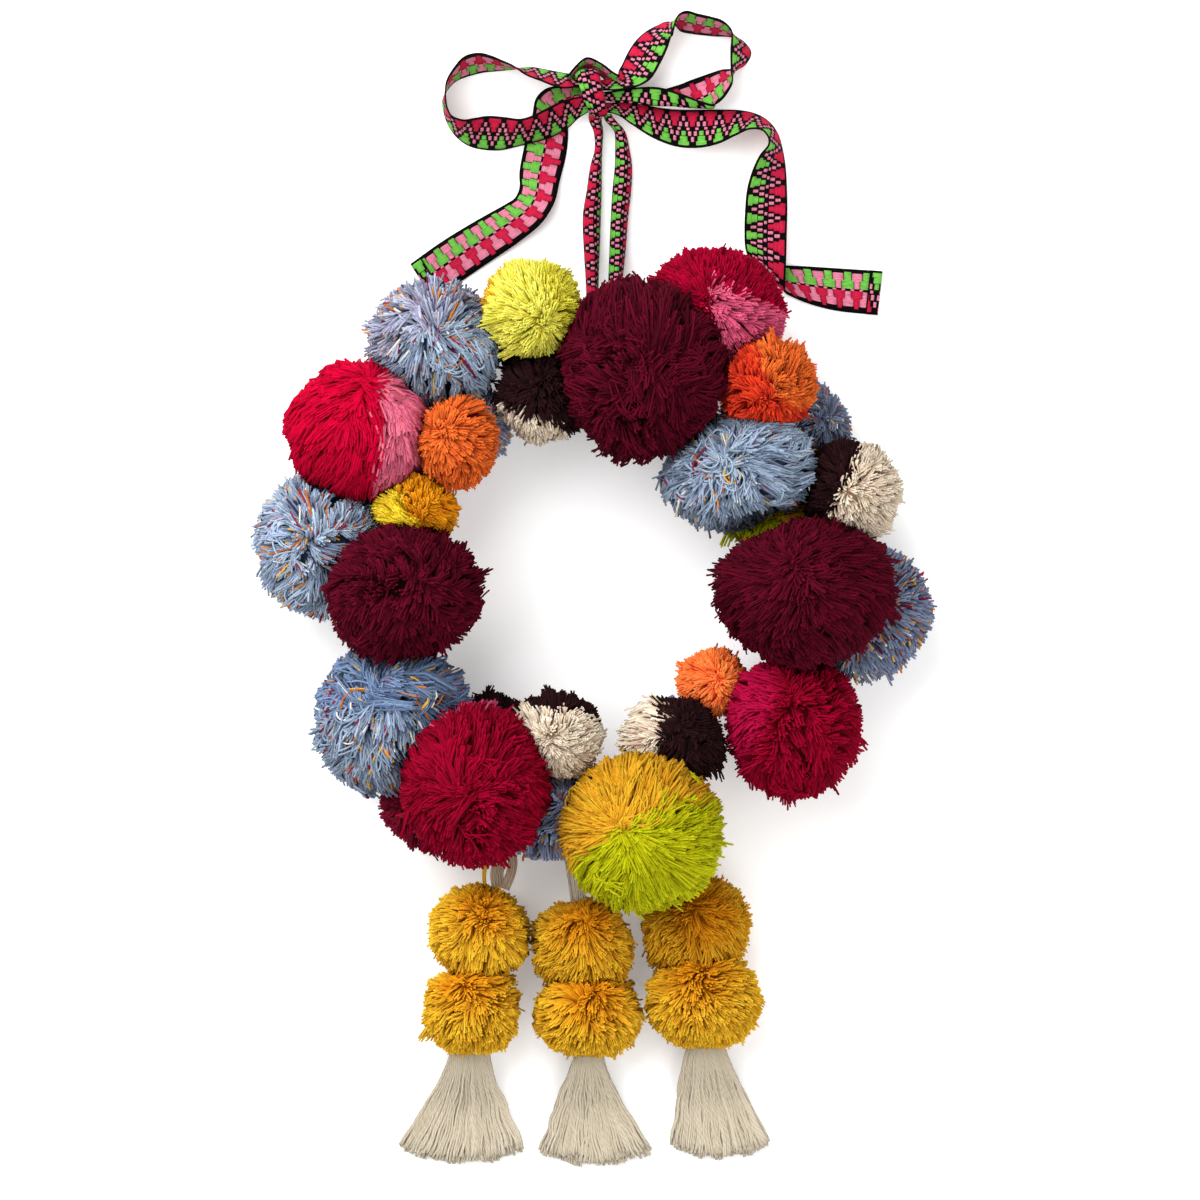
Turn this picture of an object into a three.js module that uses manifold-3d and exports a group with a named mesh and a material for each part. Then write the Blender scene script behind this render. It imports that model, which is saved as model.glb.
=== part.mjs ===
import * as THREE from 'three';
import { mergeVertices } from 'three/addons/utils/BufferGeometryUtils.js';
import Module from 'manifold-3d';

// Pom pom wreath lying on its back: a ring of wool pompoms, three mustard and cream tassels
// below it and a woven ribbon tied in a bow above it.
// Millimetres, +Z up, +Y from the tassels towards the bow. The ring's middle is x = 0, y = 0
// until the last step, which puts the origin under the middle of the whole piece.

const pieceGap = 0.3; // between two pieces that touch
const ribbonWidth = 22;
const ribbonThickness = 1;
const yarnBundle = 2.6; // thickness of one strand in the tassels' ties
const lockRoot = 8; // half width of a tuft of yarn at its inner end
const lockTip = 1.1;
const lockLength = 4.6; // how far a tuft stands out of the ball
const lockClearance = 2;
const tuftDepth = 0.45; // where a tuft starts, as a share of the radius
const lowestLock = 16; // no tuft ends lower than this, so the ribbon's tails stay free
const tuftHeight = 3.4; // how far neighbouring points of a ball differ
const tasselTufts = 2;
const largeRadius = 30; // front balls above this size have finer facets
const lumpShare = 0.045; // slow swelling of a ball, as a share of its radius
const reachBeyond = 14; // neighbours further apart than this don't shape each other

const colours = {
  maroon: 0x5a0a22,
  red: 0xc4062a,
  pink: 0xc2486c,
  orange: 0xe8641b,
  yellow: 0xd8dc3c,
  lime: 0xb8cc14,
  mustard: 0xd9960f,
  blue: 0x9bb9dd,
  brown: 0x2a0f14,
  cream: 0xe2d7c6,
  burgundy: 0x6b1230,
  ribbonBlack: 0x2a2024,
  ribbonPink: 0xb04a62,
};

// Pompoms of the ring: middle (x, y, z), size from edge to edge (wide in X, long in Y, tall in
// Z), yarn colour and how many tufts stand out.
const ringPompoms = [
  { name: 'pom01_yellow', x: -31, y: 134, z: 62, wide: 54, long: 50, tall: 50, yarn: 'yellow', tufts: 4 },
  { name: 'pom02_brown_white', x: -24.5, y: 90.5, z: 50, wide: 48, long: 47, tall: 48, yarn: 'brown', tufts: 3 },
  { name: 'pom03_maroon', x: 25.5, y: 104, z: 66, wide: 83, long: 95, tall: 86, yarn: 'maroon', tufts: 5 },
  { name: 'pom04_red_pink', x: 58.5, y: 130, z: 46, wide: 76, long: 69, tall: 68, yarn: 'red', tufts: 4 },
  { name: 'pom05_orange', x: 84.5, y: 96.5, z: 64, wide: 55, long: 48, tall: 50, yarn: 'orange', tufts: 4 },
  { name: 'pom06_blue', x: 105.5, y: 76.5, z: 24, wide: 46, long: 44, tall: 46, yarn: 'blue', tufts: 2 },
  { name: 'pom07_blue', x: 76.5, y: 50.5, z: 56, wide: 87, long: 62, tall: 66, yarn: 'blue', tufts: 5 },
  { name: 'pom08_brown_cream', x: 126, y: 42, z: 52, wide: 56, long: 54, tall: 54, yarn: 'cream', tufts: 4 },
  { name: 'pom09_lime', x: 88, y: 28, z: 34, wide: 46, long: 44, tall: 46, yarn: 'lime', tufts: 2 },
  { name: 'pom10_maroon', x: 105.5, y: -6.5, z: 66, wide: 95, long: 74, tall: 84, yarn: 'maroon', tufts: 5 },
  { name: 'pom11_blue', x: 134, y: -16, z: 36, wide: 68, long: 70, tall: 66, yarn: 'blue', tufts: 4 },
  { name: 'pom12_red_pink', x: 100, y: -73.5, z: 44, wide: 68, long: 75, tall: 72, yarn: 'red', tufts: 5 },
  { name: 'pom13_orange', x: 59, y: -52, z: 40, wide: 38, long: 36, tall: 38, yarn: 'orange', tufts: 2 },
  { name: 'pom14_brown_white', x: 39, y: -82, z: 52, wide: 56, long: 48, tall: 50, yarn: 'brown', tufts: 4 },
  { name: 'pom15_mustard_lime', x: 24, y: -127, z: 66, wide: 83, long: 79, tall: 82, yarn: 'lime', tufts: 5 },
  { name: 'pom16_cream_brown', x: -19, y: -78.5, z: 56, wide: 49, long: 46, tall: 48, yarn: 'cream', tufts: 4 },
  { name: 'pom17_blue', x: -21, y: -117, z: 34, wide: 54, long: 53, tall: 58, yarn: 'blue', tufts: 3 },
  { name: 'pom18_red', x: -59.5, y: -102, z: 66, wide: 75, long: 84, tall: 80, yarn: 'red', tufts: 4 },
  { name: 'pom19_burgundy', x: -81, y: -111.5, z: 28, wide: 54, long: 54, tall: 56, yarn: 'burgundy', tufts: 2 },
  { name: 'pom20_blue', x: -101.5, y: -72, z: 46, wide: 76, long: 73, tall: 74, yarn: 'blue', tufts: 4 },
  { name: 'pom21_maroon', x: -94.5, y: -7, z: 66, wide: 80, long: 67, tall: 80, yarn: 'maroon', tufts: 4 },
  { name: 'pom22_mustard', x: -89.5, y: 31.5, z: 56, wide: 46, long: 42, tall: 44, yarn: 'mustard', tufts: 2 },
  { name: 'pom23_blue', x: -136, y: 17, z: 42, wide: 64, long: 76, tall: 68, yarn: 'blue', tufts: 4 },
  { name: 'pom24_red_pink', x: -117, y: 73, z: 53, wide: 74, long: 72, tall: 72, yarn: 'red', tufts: 4 },
  { name: 'pom25_orange', x: -67, y: 67, z: 68, wide: 40, long: 49, tall: 44, yarn: 'orange', tufts: 3 },
  { name: 'pom26_blue', x: -80, y: 116.5, z: 44, wide: 66, long: 65, tall: 66, yarn: 'blue', tufts: 5 },
  { name: 'pom27_blue', x: -60.5, y: 76.5, z: 24, wide: 42, long: 42, tall: 42, yarn: 'blue', tufts: 1 },
  { name: 'pom28_maroon', x: -52.5, y: -77, z: 26, wide: 40, long: 40, tall: 42, yarn: 'maroon', tufts: 1 },
];

// Pompoms at the back of the ring, on which the front ones lie. They have no tufts.
const backPompoms = [
  { name: 'back01_maroon', x: 14, y: 110, z: 31, wide: 66, long: 64, tall: 71, yarn: 'maroon' },
  { name: 'back02_blue', x: 96, y: -4, z: 31, wide: 64, long: 64, tall: 71, yarn: 'blue' },
  { name: 'back03_mustard', x: 27, y: -117, z: 31, wide: 62, long: 62, tall: 71, yarn: 'mustard' },
  { name: 'back04_red', x: -50, y: -109, z: 28, wide: 58, long: 58, tall: 65, yarn: 'red' },
  { name: 'back05_cream', x: -96, y: -4, z: 31, wide: 64, long: 64, tall: 71, yarn: 'cream' },
  { name: 'back06_red', x: 82, y: 60, z: 27, wide: 54, long: 54, tall: 63, yarn: 'red' },
  { name: 'back07_pink', x: -97, y: 60, z: 26, wide: 54, long: 54, tall: 61, yarn: 'pink' },
  { name: 'back08_blue', x: 38, y: -80, z: 23, wide: 46, long: 46, tall: 55, yarn: 'blue' },
  { name: 'back09_brown', x: -22, y: 112, z: 26, wide: 52, long: 50, tall: 61, yarn: 'brown' },
];

// The two pompoms of each tassel, all mustard with tasselTufts tufts.
const tasselPompoms = [
  { name: 'tassel_left_pom_top', x: -57, y: -175, z: 24, wide: 50, long: 46, tall: 54 },
  { name: 'tassel_left_pom_low', x: -61.5, y: -217.5, z: 24, wide: 51, long: 44, tall: 54 },
  { name: 'tassel_mid_pom_top', x: -5.5, y: -181, z: 24, wide: 54, long: 43, tall: 56 },
  { name: 'tassel_mid_pom_low', x: -3, y: -219.5, z: 24, wide: 57, long: 41, tall: 56 },
  { name: 'tassel_right_pom_top', x: 51, y: -172, z: 24, wide: 56, long: 48, tall: 56 },
  { name: 'tassel_right_pom_low', x: 54.5, y: -213, z: 24, wide: 59, long: 48, tall: 56 },
];

// Cream fringe under each tassel's lower pompom: where the neck is, how wide it is, where the
// outer strands end, and how far down the strands reach.
const fringes = [
  { name: 'tassel_left_fringe', above: 'tassel_left_pom_low', neckX: -62, neckY: -237, neck: 21,
    endLeft: -97.5, endRight: -34.5, endY: -293 },
  { name: 'tassel_mid_fringe', above: 'tassel_mid_pom_low', neckX: -2.5, neckY: -238, neck: 15,
    endLeft: -27.5, endRight: 29, endY: -294 },
  { name: 'tassel_right_fringe', above: 'tassel_right_pom_low', neckX: 56, neckY: -234, neck: 20,
    endLeft: 38.5, endRight: 88.5, endY: -291 },
];
const fringeLayers = [
  { strands: 14, bottom: 0, tall: 3.8, shorter: 0 },
  { strands: 12, bottom: 4.4, tall: 3.6, shorter: 2.5 },
];
const fringeHead = { tall: 13, deep: 11, middle: 14 };
const fringeSplit = 0.8; // width of a strand as a share of its place in the row
const fringeRoots = 0.86; // width of the row of strands at the neck, as a share of the neck's
const fringeSettle = 2.2; // a strand is down in its layer after 1 / fringeSettle of its length
const fringeSteps = 2;

// Ties between the ring and the tassels: the pompoms they join, where they leave each of them
// along the line between the two, and the strands' sideways offset and bulge.
const ties = [
  { name: 'tie_left', from: 'tassel_left_pom_top', to: 'back04_red', start: 22.5, end: 25,
    strands: [{ side: -3.6, bulge: -1 }, { side: 0, bulge: 0.6 }, { side: 3, bulge: 5.2 }] },
  { name: 'tie_mid', from: 'tassel_mid_pom_top', to: 'pom17_blue', start: 20.5, end: 22,
    strands: [{ side: -4.2, bulge: -0.8 }, { side: 0, bulge: 0 }, { side: 4.2, bulge: 0.8 }] },
  { name: 'tie_right', from: 'tassel_right_pom_top', to: 'back03_mustard', start: 22, end: 27,
    strands: [{ side: -2.4, bulge: -0.6 }, { side: 0, bulge: 0 }, { side: 2.4, bulge: 0.6 }] },
];

const knot = { left: -7.2, right: 10.8, low: 229, high: 255, bottom: 0.3, top: 23 };
const knotHump = { x: -3, wide: 6, rise: 5.5 }; // turn of the band that stands up behind
const hangerEnd = 136.5; // y at which the two hanging strands meet the ring's back

// A ribbon row is one straight line across the ribbon. fx, fy is the edge nearer the surface,
// hx, hy the edge that is lifted, low the height of the lower edge, and wide the width across
// that row, less than the ribbon's own where it is gathered into the knot.
const loopLeftRows = [
  { fx: -7.7, fy: 251, hx: -7.7, hy: 245, low: 8, wide: 10 },
  { fx: -14, fy: 252, hx: -16.5, hy: 244.5, low: 5, wide: 17 },
  { fx: -24, fy: 254, hx: -26.5, hy: 248, low: 1.5 },
  { fx: -32, fy: 255.3, hx: -34, hy: 251, low: 0.6 },
  { fx: -39.5, fy: 254.5, hx: -40.5, hy: 255.5, low: 0.6 },
  { fx: -45, fy: 254, hx: -46, hy: 258, low: 0.6 },
  { fx: -50, fy: 253.5, hx: -52, hy: 260.5, low: 0.6 },
  { fx: -55, fy: 253, hx: -57.5, hy: 261.7, low: 0.6 },
  { fx: -63, fy: 251, hx: -64.5, hy: 260, low: 0.6 },
  { fx: -69, fy: 248.5, hx: -70, hy: 254, low: 0.6 },
  { fx: -73, fy: 244.5, hx: -73.5, hy: 247.5, low: 0.6 },
  { fx: -75.5, fy: 239, hx: -74, hy: 239.5, low: 0.6 },
  { fx: -75, fy: 233, hx: -73, hy: 234, low: 0.6 },
  { fx: -72.5, fy: 226, hx: -71, hy: 230.5, low: 0.6 },
  { fx: -68, fy: 220, hx: -65.5, hy: 228.5, low: 0.6 },
  { fx: -62, fy: 216, hx: -59.5, hy: 229.3, low: 0.6 },
  { fx: -55, fy: 214.3, hx: -53, hy: 230.4, low: 1 },
  { fx: -47, fy: 214, hx: -44.5, hy: 229.8, low: 2 },
  { fx: -37.5, fy: 216, hx: -36.5, hy: 228.8, low: 3.4 },
  { fx: -29.5, fy: 218, hx: -30.5, hy: 230.5, low: 4 },
  { fx: -21.5, fy: 220.3, hx: -24.5, hy: 233.5, low: 4.6 },
  { fx: -13, fy: 225, hx: -16.5, hy: 237.5, low: 6, wide: 18 },
  { fx: -7.7, fy: 229.8, hx: -7.7, hy: 240, low: 8, wide: 12 },
];

const tailLeftRows = [
  { fx: -7.7, fy: 246, hx: -7.7, hy: 236.5, low: 5.5, rise: 0 },
  { fx: -15.5, fy: 246, hx: -12, hy: 233, low: 2.6, rise: 0 },
  { fx: -23.5, fy: 245, hx: -13.5, hy: 228.5, low: 0.8, rise: 0 },
  { fx: -29, fy: 240, hx: -13, hy: 224.8, low: 0.6, rise: 0 },
  { fx: -31, fy: 231, hx: -13, hy: 219, low: 0.6, rise: 0 },
  { fx: -35, fy: 215.5, hx: -14, hy: 211, low: 0.6, rise: 0 },
  { fx: -37.3, fy: 203, hx: -17, hy: 199, low: 0.6, rise: 2 },
  { fx: -37.3, fy: 195, hx: -19.3, hy: 189, low: 0.6, rise: 5 },
  { fx: -39.5, fy: 190, hx: -22.5, hy: 182.5, low: 0.6, rise: 6.5 },
  { fx: -44, fy: 187, hx: -27, hy: 176.5, low: 0.6, rise: 5 },
  { fx: -52.5, fy: 182.3, hx: -37.5, hy: 168, low: 0.6, rise: 2.5 },
  { fx: -61, fy: 177.5, hx: -48.5, hy: 160.5, low: 0.6, rise: 1 },
  { fx: -76.5, fy: 168, hx: -64, hy: 150, low: 0.6, rise: 0 },
  { fx: -91.2, fy: 157.5, hx: -79.7, hy: 138.8, low: 0.6, rise: 0 },
];

const loopRightRows = [
  { fx: 11.3, fy: 250.5, hx: 11.3, hy: 243.5, low: 9, wide: 10 },
  { fx: 12.5, fy: 253.5, hx: 22, hy: 245.5, low: 6, wide: 16 },
  { fx: 14.2, fy: 256.5, hx: 28, hy: 249, low: 3.5 },
  { fx: 17, fy: 262.5, hx: 33, hy: 257, low: 1 },
  { fx: 21, fy: 268.5, hx: 36.5, hy: 264.5, low: 0.6 },
  { fx: 26, fy: 273, hx: 38.3, hy: 269.8, low: 0.6 },
  { fx: 31.5, fy: 276, hx: 39, hy: 270.5, low: 0.6 },
  { fx: 36.5, fy: 278, hx: 40, hy: 275, low: 0.6 },
  { fx: 40, fy: 277, hx: 42, hy: 280.5, low: 0.6 },
  { fx: 43.5, fy: 273.5, hx: 46, hy: 282.7, low: 0.6 },
  { fx: 49, fy: 272.3, hx: 51.5, hy: 281.3, low: 0.6 },
  { fx: 54.5, fy: 271.6, hx: 58, hy: 279.8, low: 0.6 },
  { fx: 61.5, fy: 271, hx: 64, hy: 277.8, low: 0.6 },
  { fx: 67.5, fy: 270.8, hx: 68.3, hy: 273.5, low: 0.6 },
  { fx: 73.5, fy: 269, hx: 68.8, hy: 270.5, low: 0.6 },
  { fx: 78.3, fy: 263, hx: 68.3, hy: 264, low: 0.6 },
  { fx: 76.5, fy: 258, hx: 68.3, hy: 258, low: 0.6 },
  { fx: 73, fy: 255, hx: 68.5, hy: 252.5, low: 0.6 },
  { fx: 68.5, fy: 254.3, hx: 69, hy: 247.5, low: 0.6 },
  { fx: 64, fy: 254, hx: 67, hy: 243, low: 0.6 },
  { fx: 59, fy: 252.5, hx: 63.5, hy: 238.5, low: 0.6 },
  { fx: 53, fy: 250.5, hx: 58.5, hy: 235.2, low: 0.6 },
  { fx: 46, fy: 248, hx: 51.5, hy: 235.2, low: 0.6 },
  { fx: 39, fy: 245.5, hx: 44, hy: 236.5, low: 0.8 },
  { fx: 32, fy: 243.3, hx: 36.5, hy: 238.2, low: 2, wide: 18 },
  { fx: 23, fy: 242, hx: 26, hy: 239.3, low: 3.6, wide: 12 },
  { fx: 11.3, fy: 241.5, hx: 11.3, hy: 238.5, low: 4.2, wide: 8 },
];

const tailRightRows = [
  { fx: 11.3, fy: 237.5, hx: 11.3, hy: 231.5, low: 6.5, wide: 6.5 },
  { fx: 21, fy: 237.3, hx: 18.5, hy: 226.8, low: 3, wide: 14 },
  { fx: 32, fy: 235, hx: 30.5, hy: 219.3, low: 0.6 },
  { fx: 42.5, fy: 234, hx: 42.5, hy: 215.3, low: 0.6 },
  { fx: 53, fy: 234, hx: 53, hy: 215, low: 0.6 },
  { fx: 63, fy: 234, hx: 62.2, hy: 217, low: 0.6 },
  { fx: 73.5, fy: 233.6, hx: 70.7, hy: 221, low: 0.6 },
  { fx: 82, fy: 231.5, hx: 78, hy: 224, low: 0.6 },
  { fx: 88, fy: 227.5, hx: 84, hy: 223.3, low: 0.6 },
  { fx: 91.8, fy: 222, hx: 87, hy: 219.5, low: 0.8 },
  { fx: 93.8, fy: 215.5, hx: 87, hy: 216, low: 1.5 },
  { fx: 95, fy: 209.5, hx: 83, hy: 211, low: 3 },
  { fx: 95.8, fy: 203, hx: 79.3, hy: 203.5, low: 4.5 },
  { fx: 96.3, fy: 194, hx: 76.5, hy: 194, low: 6 },
  { fx: 96.5, fy: 184, hx: 75.5, hy: 184, low: 7 },
  { fx: 96.3, fy: 172, hx: 75.1, hy: 172, low: 8, rise: 0 },
  { fx: 96, fy: 158, hx: 75.5, hy: 165, low: 8, rise: 0 },
  { fx: 95.5, fy: 148, hx: 77, hy: 160.5, low: 7.4, rise: 0 },
  { fx: 95.7, fy: 143, hx: 79, hy: 157.5, low: 4.8, rise: 0 },
  { fx: 97.5, fy: 141.5, hx: 83, hy: 157, low: 2.2, rise: 0 },
  { fx: 103, fy: 138.8, hx: 91, hy: 156.5, low: 1.3, rise: 0 },
  { fx: 111, fy: 136, hx: 104, hy: 156, low: 0.8, rise: 0 },
  { fx: 122, fy: 133.5, hx: 120.5, hy: 155, low: 0.6, rise: 0 },
  { fx: 141, fy: 131.5, hx: 143.5, hy: 153.5, low: 0.6, rise: 0 },
];

// The two strands that the wreath hangs by are bent lengthwise like a gutter turned over.
// Each row: y, the two sides that show from above, and the height of the ridge.
const hangerLeftRows = [
  { y: 229.2, left: -3, right: 4, ridge: 13 },
  { y: 223, left: -0.5, right: 4.8, ridge: 9.5 },
  { y: 214, left: 0, right: 4.3, ridge: 9 },
  { y: 206, left: -2.2, right: 4.1, ridge: 8.5 },
  { y: 194, left: -4, right: 4, ridge: 8.5 },
  { y: 181, left: -6, right: 3.6, ridge: 8.5 },
  { y: 164, left: -5.5, right: 3, ridge: 10 },
  { y: 149, left: -4.5, right: 2.5, ridge: 15 },
  { y: hangerEnd, left: -4, right: 2.5, ridge: 24 },
];
const hangerRightRows = [
  { y: 229.2, left: 5, right: 10.5, ridge: 13 },
  { y: 223, left: 9.8, right: 15.8, ridge: 9.5 },
  { y: 214, left: 10.2, right: 18, ridge: 9 },
  { y: 206, left: 10, right: 19.2, ridge: 8.5 },
  { y: 194, left: 8.8, right: 18.8, ridge: 8.5 },
  { y: 181, left: 8, right: 17.3, ridge: 8.5 },
  { y: 164, left: 7.3, right: 16, ridge: 10 },
  { y: 149, left: 6.8, right: 14.5, ridge: 15 },
  { y: hangerEnd, left: 6.5, right: 13, ridge: 24 },
];
const gutterDrop = 7; // how far the folded-down sides hang below the ridge

const wasm = await Module();
wasm.setup();

// Evenly spread but irregular values from 0 to 1, always the same for the same seed.
function scatter(seed) {
  const value = Math.sin(seed * 127.1 + 11.7) * 43758.5453;
  return value - Math.floor(value);
}

function bareGeometry(geometry) {
  geometry.deleteAttribute('normal');
  geometry.deleteAttribute('uv');
  return mergeVertices(geometry);
}

function toSolid(geometry) {
  return new wasm.Manifold(new wasm.Mesh({
    numProp: 3,
    vertProperties: new Float32Array(geometry.attributes.position.array),
    triVerts: new Uint32Array(geometry.index.array),
  }));
}

function toGeometry(solid) {
  const mesh = solid.getMesh();
  const geometry = new THREE.BufferGeometry();
  geometry.setAttribute('position', new THREE.BufferAttribute(mesh.vertProperties, mesh.numProp));
  geometry.setIndex(new THREE.BufferAttribute(mesh.triVerts, 1));
  return geometry;
}

function union(geometries) {
  return toGeometry(geometries.map(toSolid).reduce((whole, piece) => whole.add(piece)));
}

// Cuts the box's lower face along the same diagonals as its upper one, so that a thin twisted
// sheet keeps its thickness.
function matchDiagonals(box) {
  const lowerFace = box.groups[box.groups.length - 1];
  for (let i = lowerFace.start; i < lowerFace.start + lowerFace.count; i += 6) {
    const [a, b, d, , c] = box.index.array.slice(i, i + 6);
    box.index.array.set([a, b, c, a, c, d], i);
  }
  return box;
}

// Moves every corner of a unit box. place takes how far along, across (0 to 1) and through
// (-0.5 to 0.5) a corner is.
function bentBox(steps, acrossSteps, place) {
  const box = matchDiagonals(new THREE.BoxGeometry(1, 1, 1, steps, acrossSteps, 1));
  const geometry = bareGeometry(box);
  const position = geometry.attributes.position;
  for (let i = 0; i < position.count; i += 1) {
    const moved = place(position.getX(i) + 0.5, position.getY(i) + 0.5, position.getZ(i));
    position.setXYZ(i, moved.x, moved.y, moved.z);
  }
  return geometry;
}

const allPompoms = [
  ...ringPompoms,
  ...backPompoms.map((pompom) => ({ ...pompom, tufts: 0 })),
  ...tasselPompoms.map((pompom) => ({ ...pompom, yarn: 'mustard', tufts: tasselTufts })),
];
const pompomByName = new Map(allPompoms.map((pompom) => [pompom.name, pompom]));

function middleOf(pompom) {
  return new THREE.Vector3(pompom.x, pompom.y, pompom.z);
}

function meanRadius(pompom) {
  return (pompom.wide + pompom.long + pompom.tall) / 6;
}

// Flat limits of a pompom, as a unit normal and a distance from its middle: one towards each
// neighbour, where the two press on each other, one at the surface it lies on, and one at
// the end of each tie or ribbon that is sewn into it.
function limitsOf(pompom) {
  const middle = middleOf(pompom);
  const radius = meanRadius(pompom);
  const limits = [{ normal: new THREE.Vector3(0, 0, -1), distance: pompom.z }];
  for (const other of allPompoms) {
    const towards = middleOf(other).sub(middle);
    const distance = towards.length();
    const otherRadius = meanRadius(other);
    if (other === pompom || distance > radius + otherRadius + reachBeyond) continue;
    const share = (distance ** 2 + radius ** 2 - otherRadius ** 2) / (2 * distance);
    limits.push({ normal: towards.normalize(), distance: share - pieceGap / 2 });
  }
  for (const tie of ties) {
    const along = tieLine(tie).direction;
    if (tie.from === pompom.name) {
      limits.push({ normal: along, distance: tie.start - pieceGap });
    } else if (tie.to === pompom.name) {
      limits.push({ normal: along.negate(), distance: tie.end - pieceGap });
    }
  }
  for (const fringe of fringes) {
    if (fringe.above !== pompom.name) continue;
    limits.push({ normal: new THREE.Vector3(0, -1, 0), distance: pompom.y - fringe.neckY - pieceGap });
  }
  if (pompom.name === 'back01_maroon') {
    limits.push({ normal: new THREE.Vector3(0, 1, 0), distance: hangerEnd - pompom.y - pieceGap });
  }
  return limits;
}

function reachAlong(direction, limits) {
  let reach = Infinity;
  for (const limit of limits) {
    const facing = direction.dot(limit.normal);
    if (facing > 1e-6) reach = Math.min(reach, limit.distance / facing);
  }
  return reach;
}

function ballRadius(pompom, direction) {
  const x = direction.x / (pompom.wide / 2);
  const y = direction.y / (pompom.long / 2);
  const z = direction.z / (pompom.tall / 2);
  const seed = pompom.x + pompom.y;
  const lump = Math.sin(direction.x * 4.1 + seed) * Math.sin(direction.y * 3.7 - seed)
    * Math.cos(direction.z * 4.3 + seed);
  return (1 + lumpShare * lump) / Math.hypot(x, y, z);
}

// Directions in which a pompom is free, spread apart, for the tufts that stand out of it.
function tuftDirections(pompom, limits) {
  const candidates = 90;
  const goldenTurn = Math.PI * (3 - Math.sqrt(5));
  const chosen = [];
  for (let i = 0; i < candidates && chosen.length < pompom.tufts; i += 1) {
    const step = (i * 37 + Math.round(Math.abs(pompom.x))) % candidates;
    const z = 1 - (2 * step + 1) / candidates;
    const round = Math.sqrt(1 - z * z);
    const direction = new THREE.Vector3(Math.cos(step * goldenTurn) * round,
      Math.sin(step * goldenTurn) * round, z);
    const tip = ballRadius(pompom, direction) + lockLength;
    const free = reachAlong(direction, limits) > tip + lockClearance;
    const high = pompom.z + direction.z * tip > lowestLock;
    const apart = chosen.every((other) => other.angleTo(direction) > 0.5);
    if (free && high && apart) chosen.push(direction);
  }
  return chosen;
}

// A four-sided tuft that starts inside the ball, no wider there than the ball's limits allow,
// and tapers to its tip.
function tuft(pompom, direction, limits) {
  const inner = ballRadius(pompom, direction) * tuftDepth;
  const outer = ballRadius(pompom, direction) + lockLength;
  const start = direction.clone().multiplyScalar(inner);
  const room = Math.min(...limits.map((limit) => limit.distance - limit.normal.dot(start)));
  const root = Math.min(lockRoot, room / 1.5);
  const turn = new THREE.Quaternion().setFromUnitVectors(new THREE.Vector3(1, 0, 0), direction);
  return bentBox(1, 1, (along, across, through) => {
    const atTip = along > 0.5;
    const width = 2 * (atTip ? lockTip : root);
    const point = new THREE.Vector3(atTip ? outer : inner, (across - 0.5) * width, through * width);
    return point.applyQuaternion(turn);
  });
}

function pompomGeometry(pompom) {
  const limits = limitsOf(pompom);
  const facets = pompom.tufts > 0 && meanRadius(pompom) > largeRadius ? 3 : 2;
  const ball = bareGeometry(new THREE.IcosahedronGeometry(1, facets));
  const position = ball.attributes.position;
  const direction = new THREE.Vector3();
  for (let i = 0; i < position.count; i += 1) {
    direction.fromBufferAttribute(position, i).normalize();
    const tuftStep = (scatter(i + Math.abs(pompom.x) * 3) - 0.6) * tuftHeight;
    const wanted = ballRadius(pompom, direction) + tuftStep;
    direction.multiplyScalar(Math.min(wanted, reachAlong(direction, limits)));
    position.setXYZ(i, direction.x, direction.y, direction.z);
  }
  const tufts = tuftDirections(pompom, limits).map((free) => tuft(pompom, free, limits));
  return union([ball, ...tufts]);
}

function tieLine(tie) {
  const from = middleOf(pompomByName.get(tie.from));
  const to = middleOf(pompomByName.get(tie.to));
  const direction = to.clone().sub(from).normalize();
  return {
    direction,
    start: from.clone().addScaledVector(direction, tie.start),
    finish: to.clone().addScaledVector(direction, -tie.end),
  };
}

// A bundle of yarn strands side by side, drawn together at both ends.
function tieGeometry(tie) {
  const line = tieLine(tie);
  const leftwards = new THREE.Vector3(-line.direction.y, line.direction.x, 0).normalize();
  const upwards = new THREE.Vector3().crossVectors(line.direction, leftwards);
  const steps = 4;
  const strands = tie.strands.map((strand) => bentBox(steps, 1, (along, across, through) => {
    const wave = Math.sin(along * Math.PI);
    const side = strand.side * (0.45 + 0.55 * wave) + strand.bulge * wave;
    return line.start.clone().lerp(line.finish, along)
      .addScaledVector(leftwards, (across - 0.5) * yarnBundle - side)
      .addScaledVector(upwards, through * yarnBundle);
  }));
  return union(strands);
}

// Flattened bundle at the neck, into which every strand of the fringe is bound.
function fringeHeadGeometry(fringe) {
  return bentBox(2, 4, (along, across, through) => {
    const angle = (across - 0.5) * Math.PI;
    const swell = 0.8 + 0.2 * Math.sin(along * Math.PI);
    return new THREE.Vector3(
      fringe.neckX + Math.sin(angle) * fringe.neck * 0.5 * swell,
      fringe.neckY - along * fringeHead.deep,
      fringeHead.middle + through * fringeHead.tall * (0.45 + 0.55 * Math.cos(angle)) * swell,
    );
  });
}

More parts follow.
